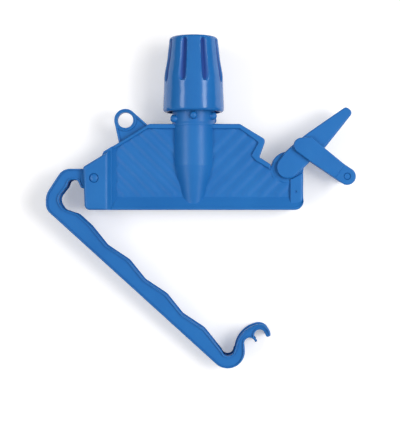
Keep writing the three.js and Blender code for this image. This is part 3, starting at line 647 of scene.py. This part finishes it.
# %% Hinge block
BLOCK = 14.2  # half depth of the block
SLOT = 10.3  # half depth of the slot between the cheeks
SHOULDER_Y = 18.8  # the straight left side ends here
STEP_X = -67.6  # the step in the top edge
STEP_FOOT = (-69.0, 27.2)
HUB_ROOM = 11.1  # radius of the room for the gate's hub
LEFT_X = -HALF_WIDTH
SLOT_FLOOR = -4.0
BLOCK_EDGE = 1.9
ROLL_R = 4.3  # the face rolls down to the right over this radius
ROLL_STARTS = -67.1


def block_outline(right_x, slot=False):
    """The block from the front, anticlockwise from its bottom left: the core with its slot, or a cheek."""
    if not slot:
        rise = (STEP_FOOT[1] - SHOULDER_Y) / (STEP_FOOT[0] - LEFT_X)
        right_y = SHOULDER_Y + (right_x - LEFT_X) * rise
        return rounded([
            (LEFT_X + 1.3, JAW_Y, 4), (right_x, JAW_Y), (right_x, right_y), (LEFT_X, SHOULDER_Y, 2.4),
        ])
    corners = [
        (LEFT_X + 1.3, JAW_Y, 4), (right_x, JAW_Y), (right_x, slope_y(right_x)), (STEP_X, slope_y(STEP_X)),
        STEP_FOOT, (LEFT_X, SHOULDER_Y, 0.9),
        *arc(*HINGE, HUB_ROOM, 133, -90, 32).tolist(), (HINGE[0], SLOT_FLOOR), (LEFT_X + 0.7, SLOT_FLOOR),
    ]
    return rounded(corners)


core = plate(block_outline(-61.4, slot=True), -JAW, JAW, 0.1, steps=1)
roll_turn = np.radians(np.linspace(60, 0, 11))
roll_z = np.concatenate([[SLOT], BLOCK - ROLL_R * (1 - np.cos(roll_turn))])
roll_x = np.concatenate([[-61.9], ROLL_STARTS + ROLL_R * np.sin(roll_turn)])
roll_inset = BLOCK_EDGE * (1 - np.sqrt(1 - np.clip((roll_z - BLOCK) / BLOCK_EDGE + 1, 0, 1) ** 2))
PIN_HEAD_R = 3.6
cheek_rings = [
    at_height(inset(block_outline(x + depth), depth), z) for x, depth, z in zip(roll_x, roll_inset, roll_z)
]
cheek = stack(with_hole(cheek_rings, HINGE, PIN_HEAD_R - 0.1, 1.6, lip=0.35))
draft_section = np.array([
    (-64.5, 3), (-57.2, 3), (-57.7, 6.0), (-58.5, 6.9), (-59.9, 8.0),
    (-61.9, SLOT + 0.02), (-64.5, SLOT + 0.02),
])
draft_top = slope_y(draft_section[:, 0]) - 0.1
draft_rings = np.stack([
    np.column_stack([draft_section[:, 0], y, draft_section[:, 1]])
    for y in (np.full(len(draft_section), JAW_Y + 0.1), draft_top)
])
draft = stack(draft_rings)
block = [core, cheek, mirrored(cheek), draft, mirrored(draft)]
print("hinge block:", len(block), "forms, slot", 2 * SLOT, "mm wide")

# %% [markdown]
# ### Socket and studs
#
# The socket is a straight tube with a cone at its foot that ends in the jaw. A faint ring marks where it
# leaves the body. Its wall and bore are one profile, turned about the pole's axis. Above the body two
# rows of round studs stand on the neck: the collar's thread rides on them. Every third stud sits a little
# lower.

# %% Socket and studs
SOCKET_R = 16.1
NECK_R = 15.4
BORE_R = 12.7
NECK_TOP = 96.0
socket_profile = [
    (0, -10.6), (7.6, -10.6), (8.4, -10.2), (16.0, 19.8), (SOCKET_R, 20.6), (SOCKET_R, 49.4), (16.5, 50.0),
    (16.7, 50.6), (16.7, 51.2), (16.4, 52.2), (SOCKET_R, 53.2), (SOCKET_R, 61.6), (NECK_R, 62.3),
    (NECK_R, NECK_TOP - 0.4), (NECK_R - 0.4, NECK_TOP), (14.4, NECK_TOP), (BORE_R, 84), (BORE_R, 20.2),
    (8, 0), (0, 0),
]
STUD_R = 3.0
STUD_TIP = 19.7
stud_profile = [
    (0, BORE_R + 1), (STUD_R, BORE_R + 1), (STUD_R, 16.2), (2.8, STUD_TIP - 1.9), (2.6, STUD_TIP - 1.3),
    (2.2, STUD_TIP - 0.75), (1.6, STUD_TIP - 0.35), (0.8, STUD_TIP - 0.08), (0, STUD_TIP),
]


def stud(angle, y):
    """A stud stands square to the pole's axis, at an angle from the front."""
    points, faces = turned_piece(stud_profile, axis="z", sides=28)
    swing = turned(points[:, [2, 0]], -angle)
    return np.column_stack([swing[:, 1] * -1, points[:, 1] + y, swing[:, 0]]), faces


STUD_ROWS = (57.4, 71)
STUD_DROP = 2.1
studs = [stud(60 * k, y - (STUD_DROP if k % 3 == 2 else 0)) for y in STUD_ROWS for k in range(6)]
socket = turned_piece(socket_profile, sides=144)
print(len(studs), "studs on a socket", 2 * SOCKET_R, "mm across")

# %% [markdown]
# ### Ear and hanging eye
#
# The lever turns on a round ear at the right. At the left shoulder stands the eye that the clamp hangs
# by: a web between two edge beads that run up into a ring.

# %% Ear and hanging eye
EYE = np.array([-51.7, 54.7])
EYE_R = 8.5
EYE_HOLE = 5.9
BEAD = 4.2
ear = turned_piece(
    [(0, -EAR), (11.3, -EAR), (12, -EAR + 0.7), (12, EAR - 0.7), (11.3, EAR), (0, EAR)],
    (*LEVER_PIVOT, 0), "z",
)
bead_turn = arc(EYE_HOLE + 0.8, BEAD - 0.8, 0.8, 180, 60, 5)
edge_turn = arc(EYE_R - 0.8, BEAD - 0.8, 0.8, 120, 0, 5)
ring_half = np.concatenate([bead_turn, [(7.15, 3.75)], edge_turn])
eye_ring = turned_piece(np.concatenate([ring_half, ring_half[::-1] * (1, -1)]), (*EYE, 0), "z", 96)
right_touch = EYE + EYE_R * np.array([0.68, 0.73])
left_touch = EYE - EYE_R * np.array([0.96, 0.27])
right_root = np.array([-32.5, slope_y(-35.5) - 1.2])
left_root = np.array([-56.3, slope_y(-56.3) - 1.5])
under_ring = arc(*EYE, 7.2, 200, 405, 24)
web = rounded([tuple(left_root), tuple(right_root), *under_ring[::-1].tolist()])


def bead(start, end, inside, width=1.6):
    """A straight bead along one edge of the web, with rounded faces."""
    along = (end - start) / np.linalg.norm(end - start)
    across = np.array([-along[1], along[0]]) * inside * width
    corners = np.array([start, end, end + across, start + across])
    return plate(corners if inside > 0 else corners[::-1], -BEAD, BEAD, 0.7)


eye = [
    eye_ring, plate(web, -2.9, 2.9, 0.1, steps=1),
    bead(right_root, right_touch, 1), bead(left_root, left_touch, -1),
]
print("hanging eye: hole", 2 * EYE_HOLE, "mm across")

# %% The body as one piece
body_parts = rim + panels + ribs + jaw + block + [socket, ear] + studs + eye
holder = piece("body_moulding", body_parts, "holder", body_blue, ["holder_body"])
print("body moulding:", len(body_parts), "closed forms,", len(holder.data.polygons), "faces")

# %% [markdown]
# ## The gate
#
# The gate is one long plate that hangs open below the body. It starts in a round hub, bends back like a
# C, runs down as a wavy arm that bites into the mop, turns round and ends in an S-shaped hook with two
# notches. Its outline is the same chain of arcs and rounded corners that the maker's drawing would have.

# %% The gate's outline
HUB_R = 10.5
ARM_LEAN = 42.26  # degrees below the X axis, with the gate open
ARM_LENGTH = 173.2
CREST_START = 33.0  # the first crest of the wave, measured along the arm
CREST_PITCH = 38.8
CREST_WIDTH, TROUGH_WIDTH = 13.6, 10.6  # width of the arm at a crest and at a trough
TROUGH_AFTER = 19.2  # a trough follows its crest at this distance
TURN_R = 13.1
NOTCH_R = 4.05
NEAR, FAR = np.array([16.6, 6.0]), np.array([24.2, 12.1])


def from_hinge(*points):
    """Corners measured from the gate's hinge."""
    return [tuple(HINGE + point[:2]) + tuple(point[2:]) for point in points]


def along_arm(along, across):
    """A point beside the arm's straight outer edge."""
    return turned((along, across), -ARM_LEAN, HINGE + (-36.7, -23.5))[0]


TURN = along_arm(ARM_LENGTH, TURN_R)


def from_turn(*points):
    """Corners measured from the centre of the turn at the arm's end."""
    return [tuple(TURN + point[:2]) + tuple(point[2:]) for point in points]


def about_turn(centre, radius, start, end, steps):
    """An arc whose centre is measured from the centre of the turn."""
    return arc(*(TURN + centre), radius, start, end, steps).tolist()


wave = []
for k in (3, 2, 1, 0):
    crest = CREST_START + k * CREST_PITCH
    if k < 3:
        wave.append((*along_arm(crest + TROUGH_AFTER, TROUGH_WIDTH), 7))
    wave.append((*along_arm(crest, CREST_WIDTH), 10))
gate_outline = rounded([
    *from_hinge((0, 7.1), (-24, 7.1, 10.5), (-36.6, -12.3, 14), (-36.7, -23.5, 9)),
    *about_turn((0, 0), TURN_R - 0.05, -90 - ARM_LEAN, 6, 24),
    *about_turn(NEAR, NOTCH_R, 180, 12, 18),
    *from_turn((21, 6.9), (22.1, 7.4), (22.2, 8.5)),
    *about_turn(FAR, NOTCH_R, 232, 25, 22),
    *from_turn((29, 11.2), (30.1, 10.7), (31.5, 11.2)),
    *about_turn(FAR, NOTCH_R + 4.1, -3, 114, 18),
    *about_turn((26.6, -0.6), 21, 112, 172, 10),
    *about_turn((0.4, 0.9), 4.5, 0, -165, 16),
    *wave,
    *from_hinge((-12.7, -26.9, 8), (-23.2, -23.4, 5), (-28.4, -15.9, 7), (-20.9, -6.4, 1)),
    *from_hinge((-18.9, -1.2, 3.2), (-12.9, -1.2, 3.2), (-10.2, -7.2, 1), (0, -HUB_R)),
])

# %% [markdown]
# The gate is 20 mm deep. Its hook is 0.6 mm thinner on each face, because it passes between the arms of
# the bail. The depth changes over a few millimetres, so each point of the outline gets its own height, a
# smooth step in the distance from the hook.

# %% The gate
GATE = 10.0  # half depth
GATE_EDGE = 1.2
HOOK_THINNING = 0.6


def thinning(outline):
    """Nothing along the arm, and the full amount on the hook: a smooth step over 8 mm above the turn."""
    beyond = np.clip((outline[:, 0] - (TURN[0] + 2)) / 8, 0, 1)
    above = np.clip((outline[:, 1] - (TURN[1] + 1)) / 6, 0, 1)
    step = np.minimum(beyond, above)
    return HOOK_THINNING * step * step * (3 - 2 * step)


def edge_width(outline):
    """The rounded edge of the gate, narrower on the small prong between the notches and on the tip."""
    prong = np.linalg.norm(outline - from_turn((21.7, 7.6))[0], axis=1)
    tip = np.linalg.norm(outline - from_turn((30.2, 11))[0], axis=1)
    return GATE_EDGE * np.clip(np.minimum(prong, tip) / 2.6, 0.25, 1)


angles = np.linspace(0, np.pi / 2, 5)
edge = edge_width(gate_outline)
rings = []
for side in (-1, 1):
    for angle in angles[::side]:
        ring = inset(gate_outline, edge * (1 - np.sin(angle)))
        depth = GATE - thinning(gate_outline) - edge * (1 - np.cos(angle))
        rings.append(np.column_stack([ring, side * depth]))
arm = stack(rings)
hub_half = [(3.2, 0), (3.2, GATE - 0.3), (3.5, GATE), (HUB_R - 0.6, GATE), (HUB_R, GATE - 0.6), (HUB_R, 0)]
hub = turned_piece(
    np.concatenate([hub_half, np.array(hub_half)[:0:-1] * (1, -1)]), (*HINGE, 0), "z", 96,
)
gate = piece("wavy_gate", [arm, hub], "gate", arm_blue, ["gate_arm"])
print("gate:", len(gate.data.polygons), "faces,", len(gate_outline), "points round it")
print("from", np.round(gate_outline.min(axis=0), 1), "to", np.round(gate_outline.max(axis=0), 1))

# %% [markdown]
# ## Pins
#
# The gate's pin is a moulded peg with a wide flat head, pushed in from the front until the head is flush.
# The other pins are steel wire with small chamfers. They hardly show, but they turn up when the clamp is
# opened.

# %% Pins


def pin_profile(radius, low, high, chamfer=0.3):
    """A rod between two heights with chamfered ends, as (radius, height)."""
    return [
        (0, low), (radius - chamfer, low), (radius, low + chamfer), (radius, high - chamfer),
        (radius - chamfer, high), (0, high),
    ]


PIN_R = 2.9
SUNK = 0.35  # a peg's end lies this far below the face round it
DOME = 1.1
dome_r = np.linspace(PIN_HEAD_R - 0.3, 0, 9)
dome = np.column_stack([dome_r, BLOCK - SUNK - DOME * (dome_r / PIN_HEAD_R) ** 2])
gate_pin_profile = [
    (0, -BLOCK), (PIN_R - 0.4, -BLOCK), (PIN_R, -BLOCK + 0.4), (PIN_R, BLOCK - 1.7),
    (PIN_HEAD_R - 0.2, BLOCK - 1.7), (PIN_HEAD_R - 0.15, BLOCK - 1.5), *dome.tolist(),
]
gate_pin = turned_piece(gate_pin_profile, (*HINGE, 0), "z", 48)
piece("gate_pin", [gate_pin], "holder", body_blue, ["gate_hinge_pin"])
print("gate's pin:", 2 * PIN_R, "mm thick with a head of", 2 * PIN_HEAD_R, "mm")

# %% [markdown]
# ## The lever
#
# The lever is forked round the ear: two cheeks hold it, and beyond the ear they join in one solid web.
# Seen from the front it is a leaf shape, widest behind the bail's pivot.

# %% Lever
LEVER_ANGLE = 44.5  # degrees above the X axis, as photographed
LEVER_HUB_R = 8.5
LEVER = 10.9  # half depth
EAR_ROOM = EAR + 0.3
BLIND = 1.5  # a pin pushed in from the back ends this far below the front


def beside_lever(along, across, *radius):
    """A point measured along the lever and across it, from its pivot."""
    return (*turned((along, across), LEVER_ANGLE, LEVER_PIVOT)[0], *radius)


lever_end = [
    beside_lever(31, -8.9, 4), beside_lever(64, -4.8, 3.2), beside_lever(63.2, 2.1, 2.8),
    beside_lever(31, 7.7, 5), beside_lever(20, 9.2, 6),
]
hub_back = arc(*LEVER_PIVOT, LEVER_HUB_R, LEVER_ANGLE + 100, LEVER_ANGLE + 260, 26).tolist()
leaf = rounded([
    beside_lever(0, -LEVER_HUB_R), *lever_end, beside_lever(6, 9.6, 6),
    beside_lever(0, LEVER_HUB_R), *hub_back,
])
fork_room = arc(*LEVER_PIVOT, FORK_R, LEVER_ANGLE + 43, LEVER_ANGLE - 40, 20).tolist()
web_outline = rounded([beside_lever(14, -8.6), *lever_end, beside_lever(14, 9.3), *fork_room])


def lever_edge(outline):
    """The lever's round edge is widest on its lower right side."""
    across = turned(outline - LEVER_PIVOT, -LEVER_ANGLE)[:, 1]
    return 1.1 + 0.6 * np.clip((-across - 3) / 3, 0, 1)


fork_cheek = plate(leaf, EAR_ROOM, LEVER, lever_edge(leaf), steps=5, low_edge=0.1)
lever_web = plate(inset(web_outline, 0.02), -EAR_ROOM - 0.4, EAR_ROOM + 0.4, 0.05, steps=1)
lever = piece(
    "latch_lever_blade", [fork_cheek, mirrored(fork_cheek), lever_web], "lever", body_blue, ["latch_lever"],
)
lever_pin = turned_piece(pin_profile(PIN_R, -LEVER, LEVER - BLIND), (*LEVER_PIVOT, 0), "z", 48)
piece("lever_pin", [lever_pin], "lever", pin_steel, ["lever_pivot_pin"])
print("lever:", len(lever.data.polygons), "faces, forked round an ear", 2 * EAR, "mm deep")

# %% [markdown]
# ## The bail
#
# Two flat arms hang from the lever, one in front of it and one behind. The front one shows a small step
# where it gets thinner towards the crossbar. Between the far ends runs the crossbar with a sleeve that
# turns on it.

# %% Bail
BAIL_PIVOT = np.array(beside_lever(18.8, 3.1))
BAIL_ANGLE = -34.1
BAIL_LENGTH = 39.7  # from its pivot to the crossbar
CROSSBAR = turned((BAIL_LENGTH, 0), BAIL_ANGLE, BAIL_PIVOT)[0]
BAIL = (11.2, 14.4)  # the front arm lies between these heights, the rear one mirrors it
STEP_DEPTH = 0.9
STEP_AT = 33.2  # the step across the front arm, measured from its pivot
KNOB_R = 6.48
LINK_R = 4.4


def beside_bail(along, across, *radius):
    """A point measured along the bail and across it, from its pivot on the lever."""
    return (*turned((along, across), BAIL_ANGLE, BAIL_PIVOT)[0], *radius)


def about_bail(along, across, radius, start, end, steps):
    """An arc whose centre and angles are measured from the bail's own line."""
    return arc(*beside_bail(along, across), radius, start + BAIL_ANGLE, end + BAIL_ANGLE, steps).tolist()


heel = [beside_bail(0.9, 9.7, 1.6), *about_bail(-1.8, -0.1, 5.8, 124, 268, 26), beside_bail(10.3, -6.4, 8)]
knob = about_bail(BAIL_LENGTH, 0, KNOB_R, -90, 88, 32)
upper_side = [beside_bail(31.4, 6.4, 20), beside_bail(14, 8.0, 30)]
bail_outline = rounded([*heel, *knob, *upper_side], step=4)
thick_end = rounded([*heel, beside_bail(STEP_AT, -6.45), beside_bail(STEP_AT, 6.3), *upper_side], step=4)
link_ends = about_bail(0, 0, LINK_R, 90, 270, 30) + about_bail(BAIL_LENGTH, 0, LINK_R, -90, 90, 30)
link_outline = np.array(link_ends)
lower_rings = plate_rings(bail_outline, BAIL[0], BAIL[1] - STEP_DEPTH, 1.0, steps=4, low_edge=0.4)
CROSSBAR_R = 2.4
lower_plate = stack(with_hole(lower_rings, CROSSBAR, CROSSBAR_R + 0.2, 1.2))
upper_plate = plate(thick_end, BAIL[0] + STEP_DEPTH, BAIL[1], 1.1, steps=4, low_edge=0.3)
piece("bail_front", [lower_plate, upper_plate], "bail", body_blue, ["bail_arm_front"])
link = mirrored(plate(link_outline, BAIL[0], BAIL[1], 0.9, steps=4, low_edge=0.4))
piece("bail_rear", [link], "bail", body_blue, ["bail_arm_rear"])
BAIL_PIN_R = 2.6
bail_pin = turned_piece(pin_profile(BAIL_PIN_R, -BAIL[1], BAIL[1] - BLIND), (*BAIL_PIVOT, 0), "z", 48)
piece("bail_pin", [bail_pin], "bail", pin_steel, ["bail_pivot_pin"])
print("bail: crossbar at", np.round(CROSSBAR, 2))

# %% Crossbar and its sleeve
crossbar_end = BAIL[1] - STEP_DEPTH - SUNK
crossbar_profile = [
    (0, -crossbar_end), (CROSSBAR_R - 0.4, -crossbar_end), (CROSSBAR_R, -crossbar_end + 0.4),
    (CROSSBAR_R, crossbar_end - 0.4), (CROSSBAR_R - 0.4, crossbar_end), (0, crossbar_end),
]
crossbar = turned_piece(crossbar_profile, (*CROSSBAR, 0), "z", 48)
piece("crossbar_peg", [crossbar], "bail", body_blue, ["crossbar_pin"])
ROLLER_R, ROLLER_BORE = 3.6, 2.7
roller_half = [
    (ROLLER_BORE, 0), (ROLLER_BORE, LEVER - 0.3), (ROLLER_BORE + 0.3, LEVER), (ROLLER_R - 0.3, LEVER),
    (ROLLER_R, LEVER - 0.3), (ROLLER_R, 0),
]
roller = turned_piece(
    np.concatenate([roller_half, np.array(roller_half)[:0:-1] * (1, -1)]), (*CROSSBAR, 0), "z", 48,
)
piece("crossbar_sleeve", [roller], "roller", inner_blue, ["crossbar_roller"])
print("sleeve:", 2 * ROLLER_R, "mm thick on a bar of", 2 * CROSSBAR_R, "mm")

# %% [markdown]
# ## The collar
#
# The collar screws down over the studs and squeezes a split sleeve onto the pole. Its lower part is a
# plain band. Above that it narrows, with eight flutes for the fingers. The outside is one sheet over
# angle and height. A flute is a V with a rounded bottom: at u, from -1 to 1 across it, its depth is
# (sqrt(1 + b^2) - sqrt(u^2 + b^2)) / (sqrt(1 + b^2) - b) of its full depth. It gets narrower towards the
# top, as the collar does. At its lower end width and depth shrink as an ellipse does.

# %% Collar
COLLAR_FOOT = 60.7
COLLAR_TOP = 117.6
GRIP_FOOT = COLLAR_TOP - 25.5
outside = np.array([
    (21.0, COLLAR_FOOT), (21.7, 60.85), (22.3, 61.2), (22.85, 61.9), (23.12, 62.7), (23.18, 63.6),
    (23.12, 66), (22.95, 71), (22.75, 75), (22.62, 78), (22.5, 82.5), (22.38, 87), (22.15, 89.4),
    (21.86, 91.6), (21.4, 94), (21.0, 96.2), (20.2, 100.7), (19.7, 105.3), (19.15, 109.9), (18.8, 112.9),
    (18.55, 115.4), (18.35, 116.3), (17.9, 117.0), (17.3, 117.4), (16.6, COLLAR_TOP), (14.4, COLLAR_TOP),
    (13.7, 117.45),
])
inside = [
    (13.4, 117.0), (13.4, 112.3), (14.8, 112.3), (15.7, 103), (16.3, 99.5), (16.3, 86.4), (19.1, 79.4),
    (20.1, 78.4), (20.1, 60.9),
]

# %% Points along and round the collar
AROUND = 720
STEP = 0.55  # spacing of the points along the profile
lengths = np.concatenate([[0], np.cumsum(np.linalg.norm(np.diff(outside, axis=0), axis=1))])
fine = np.linspace(0, lengths[-1], int(lengths[-1] / STEP))
height = np.interp(np.union1d(fine, lengths), lengths, outside[:, 1])
plain = np.interp(np.union1d(fine, lengths), lengths, outside[:, 0])
theta = np.linspace(0, 2 * np.pi, AROUND, endpoint=False)
print("collar:", len(height), "rings of", AROUND, "points outside")

# %% Flutes
FLUTES = 8
FLUTE_DEPTH = 2.7
FLUTE_HALF = (3.4, 2.4)  # half width at the foot and at the top
FLUTE_BOTTOM = 0.22  # b in the formula: how round the bottom is
FLUTE_TURN = np.radians(0.8)
RUN_OUT = 9.0  # a flute runs out below the grip over this length
FLUTE_STOP = 112.6
FLUTE_END = 3.0
from_flute = ((theta - FLUTE_TURN) * FLUTES / (2 * np.pi)) % 1 - 0.5
swing = from_flute * 2 * np.pi / FLUTES
below = np.clip((GRIP_FOOT - height) / RUN_OUT, 0, 1)
above = np.clip((height - FLUTE_STOP) / FLUTE_END, 0, 1)
fade = np.sqrt(1 - below**3) * np.sqrt(1 - above**2)
half = np.interp(height, (GRIP_FOOT - RUN_OUT, COLLAR_TOP), FLUTE_HALF) * (0.35 + 0.65 * fade)
u = np.clip(plain[:, None] * np.abs(swing) / half[:, None], 0, 1)
b = FLUTE_BOTTOM
full = np.sqrt(1 + b**2)
depth = FLUTE_DEPTH * fade[:, None] * (full - np.sqrt(u**2 + b**2)) / (full - b)
radius = plain[:, None] - depth
print("flutes:", FLUTES, "of", round(float(depth.max()), 2), "mm")

# %% The collar as one piece
ring_points = np.stack([
    radius * np.sin(theta), np.broadcast_to(height[:, None], radius.shape), radius * np.cos(theta),
], axis=-1)
inside = np.array(inside)
inner_points = np.stack([
    inside[:, :1] * np.sin(theta), np.broadcast_to(inside[:, 1:], (len(inside), AROUND)),
    inside[:, :1] * np.cos(theta),
], axis=-1)
collar_rings = np.concatenate([ring_points, inner_points])
here = np.arange(collar_rings.shape[0] * AROUND).reshape(-1, AROUND)
above = np.roll(here, -1, axis=0)
collar_faces = np.stack([here, above, np.roll(above, -1, axis=1), np.roll(here, -1, axis=1)], axis=-1)
collar_form = (collar_rings.reshape(-1, 3), collar_faces.reshape(-1, 4).tolist())
collar = piece("screw_collar", [collar_form], "collar", collar_blue, ["collar_nut"])
FLUTE_SHADE_GAIN = 1.6  # the painted shade is at its darkest from 1 / 1.6 of the flute's depth
# The mask of painted shade in the flutes: 0 on the plain surface, 1 where a flute is deep enough.
flute_shade = np.zeros(len(collar.data.vertices), np.float32)
flute_shade[:radius.size] = np.clip(FLUTE_SHADE_GAIN * depth / FLUTE_DEPTH, 0, 1).ravel()
collar.data.attributes.new("flute_shade", "FLOAT", "POINT").data.foreach_set("value", flute_shade)
print("collar:", len(collar.data.polygons), "faces, grip from", GRIP_FOOT, "to", COLLAR_TOP)

# %% [markdown]
# ### The split sleeve
#
# The sleeve inside the collar has six narrow slits, so that it closes on the pole. Only its end can be
# seen, down the collar's mouth. Each of its six fingers is a sector of one profile. A thin closed ring
# joins them at the top.

# %% Split sleeve
POLE_R = 12.5
SLEEVE_FOOT, SLEEVE_TOP = 86.0, 112.0
finger = np.array([
    (POLE_R, SLEEVE_FOOT), (12.65, SLEEVE_FOOT), (13.9, 95.9), (13.9, 96.3), (15.4, 96.3), (15.4, 103),
    (14.7, 109), (14.6, 109.5), (POLE_R, 109.5),
])
SLITS = 6
HALF_SLIT = 0.7  # at the radius below
SLIT_R = 14
half_gap = np.degrees(HALF_SLIT / SLIT_R)
fingers = []
for k in range(SLITS):
    sweep = np.radians(np.linspace(60 * k - 30 + half_gap, 60 * k + 30 - half_gap, 13))
    rings = np.stack([
        finger[:, 0] * np.sin(sweep)[:, None], np.broadcast_to(finger[:, 1], (13, len(finger))),
        finger[:, 0] * np.cos(sweep)[:, None],
    ], axis=-1)
    fingers.append(stack(rings))
crown = turned_piece([
    (POLE_R, 107), (14.9, 107), (14.5, SLEEVE_TOP - 0.3), (14.2, SLEEVE_TOP), (12.8, SLEEVE_TOP),
    (POLE_R, SLEEVE_TOP - 0.3),
])
piece("split_sleeve", fingers + [crown], "collet", inner_blue, ["collet_sleeve"])
print("split sleeve:", len(fingers), "fingers from", SLEEVE_FOOT, "to", SLEEVE_TOP)

# %% [markdown]
# ## Table, light and camera
#
# The photograph is a product picture on white, taken straight from above from about 0.8 m. Two long soft
# lights stand left and right of the clamp: they give the paired stripes on the tube and the bright lines
# along every rounded edge. A key light stands overhead to the right and is kept out of the mirror images.
# The clamp lies on its back: it touches the table with its collar and with the gate's hook, so the table
# leans a little in the clamp's frame.

# %% Table
bpy.context.scene.render.film_transparent = False
TABLE_SIZE = 3.0
COLLAR_TOUCHES = (57.0, -23.25)  # (y, z) where the collar's foot meets the table
HOOK_TOUCHES = (-120.0, -10.3)
lean = (HOOK_TOUCHES[1] - COLLAR_TOUCHES[1]) / (COLLAR_TOUCHES[0] - HOOK_TOUCHES[0])


def table_z(y):
    """Height of the table under the clamp at y, in metres: it touches the collar and the gate's hook."""
    return (COLLAR_TOUCHES[1] + lean * (COLLAR_TOUCHES[0] - y / MM)) * MM


table_mesh = bpy.data.meshes.new("white_table")
corner = TABLE_SIZE / 2
table_corners = [(-corner, -corner), (corner, -corner), (corner, corner), (-corner, corner)]
table_mesh.from_pydata([(x, y, table_z(y)) for x, y in table_corners], [], [(0, 1, 2, 3)])
table = bpy.data.objects.new("white_table", table_mesh)
bpy.context.scene.collection.objects.link(table)
print("table: leans", round(float(np.degrees(np.arctan(lean))), 1), "degrees in the clamp's frame")

# %% [markdown]
# White paper glows a little for rays that come straight from the camera, through glass or off a glossy
# face. That keeps the background white, while the light on the clamp stays plain and the shadow stays on
# the table.

# %% White paper
paper, paper_shader, add, link = new_material("white_paper")
paper_shader.inputs["Base Color"].default_value = (0.84, 0.82, 0.8, 1)
paper_shader.inputs["Roughness"].default_value = 0.8
paper_shader.inputs["Specular IOR Level"].default_value = 0.1
paper_shader.inputs["Emission Color"].default_value = (0.9, 0.93, 1, 1)
GLOW = 0.32
seen = add("ShaderNodeLightPath")
direct = add("ShaderNodeMath", operation="MAXIMUM")
mirrored_ray = add("ShaderNodeMath", operation="MAXIMUM")
link(seen.outputs["Is Camera Ray"], direct.inputs[0])
link(seen.outputs["Is Transmission Ray"], direct.inputs[1])
link(direct.outputs["Value"], mirrored_ray.inputs[0])
link(seen.outputs["Is Glossy Ray"], mirrored_ray.inputs[1])
glow = add("ShaderNodeMath", operation="MULTIPLY")
glow.inputs[1].default_value = GLOW
link(mirrored_ray.outputs["Value"], glow.inputs[0])
link(glow.outputs["Value"], paper_shader.inputs["Emission Strength"])
table.data.materials.append(paper)
table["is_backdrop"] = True

# %% Camera
CAMERA_AT = (4.875, -14.25, 812)
LENS = 91.0
camera_data = bpy.data.cameras.new("camera")
camera_data.sensor_width = 36
camera_data.lens = LENS
camera_data.clip_end = 20
camera = bpy.data.objects.new("camera", camera_data)
camera.location = [value * MM for value in CAMERA_AT]
bpy.context.scene.collection.objects.link(camera)
bpy.context.scene.camera = camera
print("camera:", CAMERA_AT, "mm, lens", LENS, "mm")

# %% Lights
world = bpy.data.worlds.new("studio")
bpy.context.scene.world = world
world.use_nodes = True
ZENITH, HORIZON = 0.45, 0.1
tree = world.node_tree
sky = tree.nodes["Background"]
sky.inputs["Color"].default_value = (1, 1, 1, 1)
heading = tree.nodes.new("ShaderNodeTexCoord")
split = tree.nodes.new("ShaderNodeSeparateXYZ")
fall = tree.nodes.new("ShaderNodeMapRange")
fall.inputs["From Min"].default_value = 0.1
fall.inputs["From Max"].default_value = 0.9
fall.inputs["To Min"].default_value = HORIZON
fall.inputs["To Max"].default_value = ZENITH
tree.links.new(heading.outputs["Generated"], split.inputs["Vector"])
tree.links.new(split.outputs["Z"], fall.inputs["Value"])
tree.links.new(fall.outputs["Result"], sky.inputs["Strength"])


def soft_light(name, place_mm, size, power):
    """A rectangular lamp that looks at the middle of the clamp."""
    lamp_data = bpy.data.lights.new(name, "AREA")
    lamp_data.shape = "RECTANGLE"
    lamp_data.size, lamp_data.size_y = size
    lamp_data.energy = power
    lamp = bpy.data.objects.new(name, lamp_data)
    lamp.location = [value * MM for value in place_mm]
    lamp.rotation_euler = (-lamp.location).to_track_quat("-Z", "Y").to_euler()
    bpy.context.scene.collection.objects.link(lamp)
    return lamp


soft_light("left_strip", (-840, 0, 900), (1.2, 0.32), 5.5)
soft_light("right_strip", (840, 60, 900), (1.2, 0.32), 7.0)
key = soft_light("key", (560, 20, 950), (0.34, 0.34), 3.3)
key.visible_glossy = False
print("lights: two strips and a key, world from", HORIZON, "to", ZENITH)
bpy.context.scene.view_settings.view_transform = "Standard"

# %% Sizes of the model
visual_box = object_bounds()


def plain(box):
    """A box as lists of plain numbers."""
    return [[float(value) for value in corner] for corner in box]


{"cad": plain(cad_box), "visual": plain(visual_box)}
print("CAD box", plain(cad_box))
print("visual box", plain(visual_box))
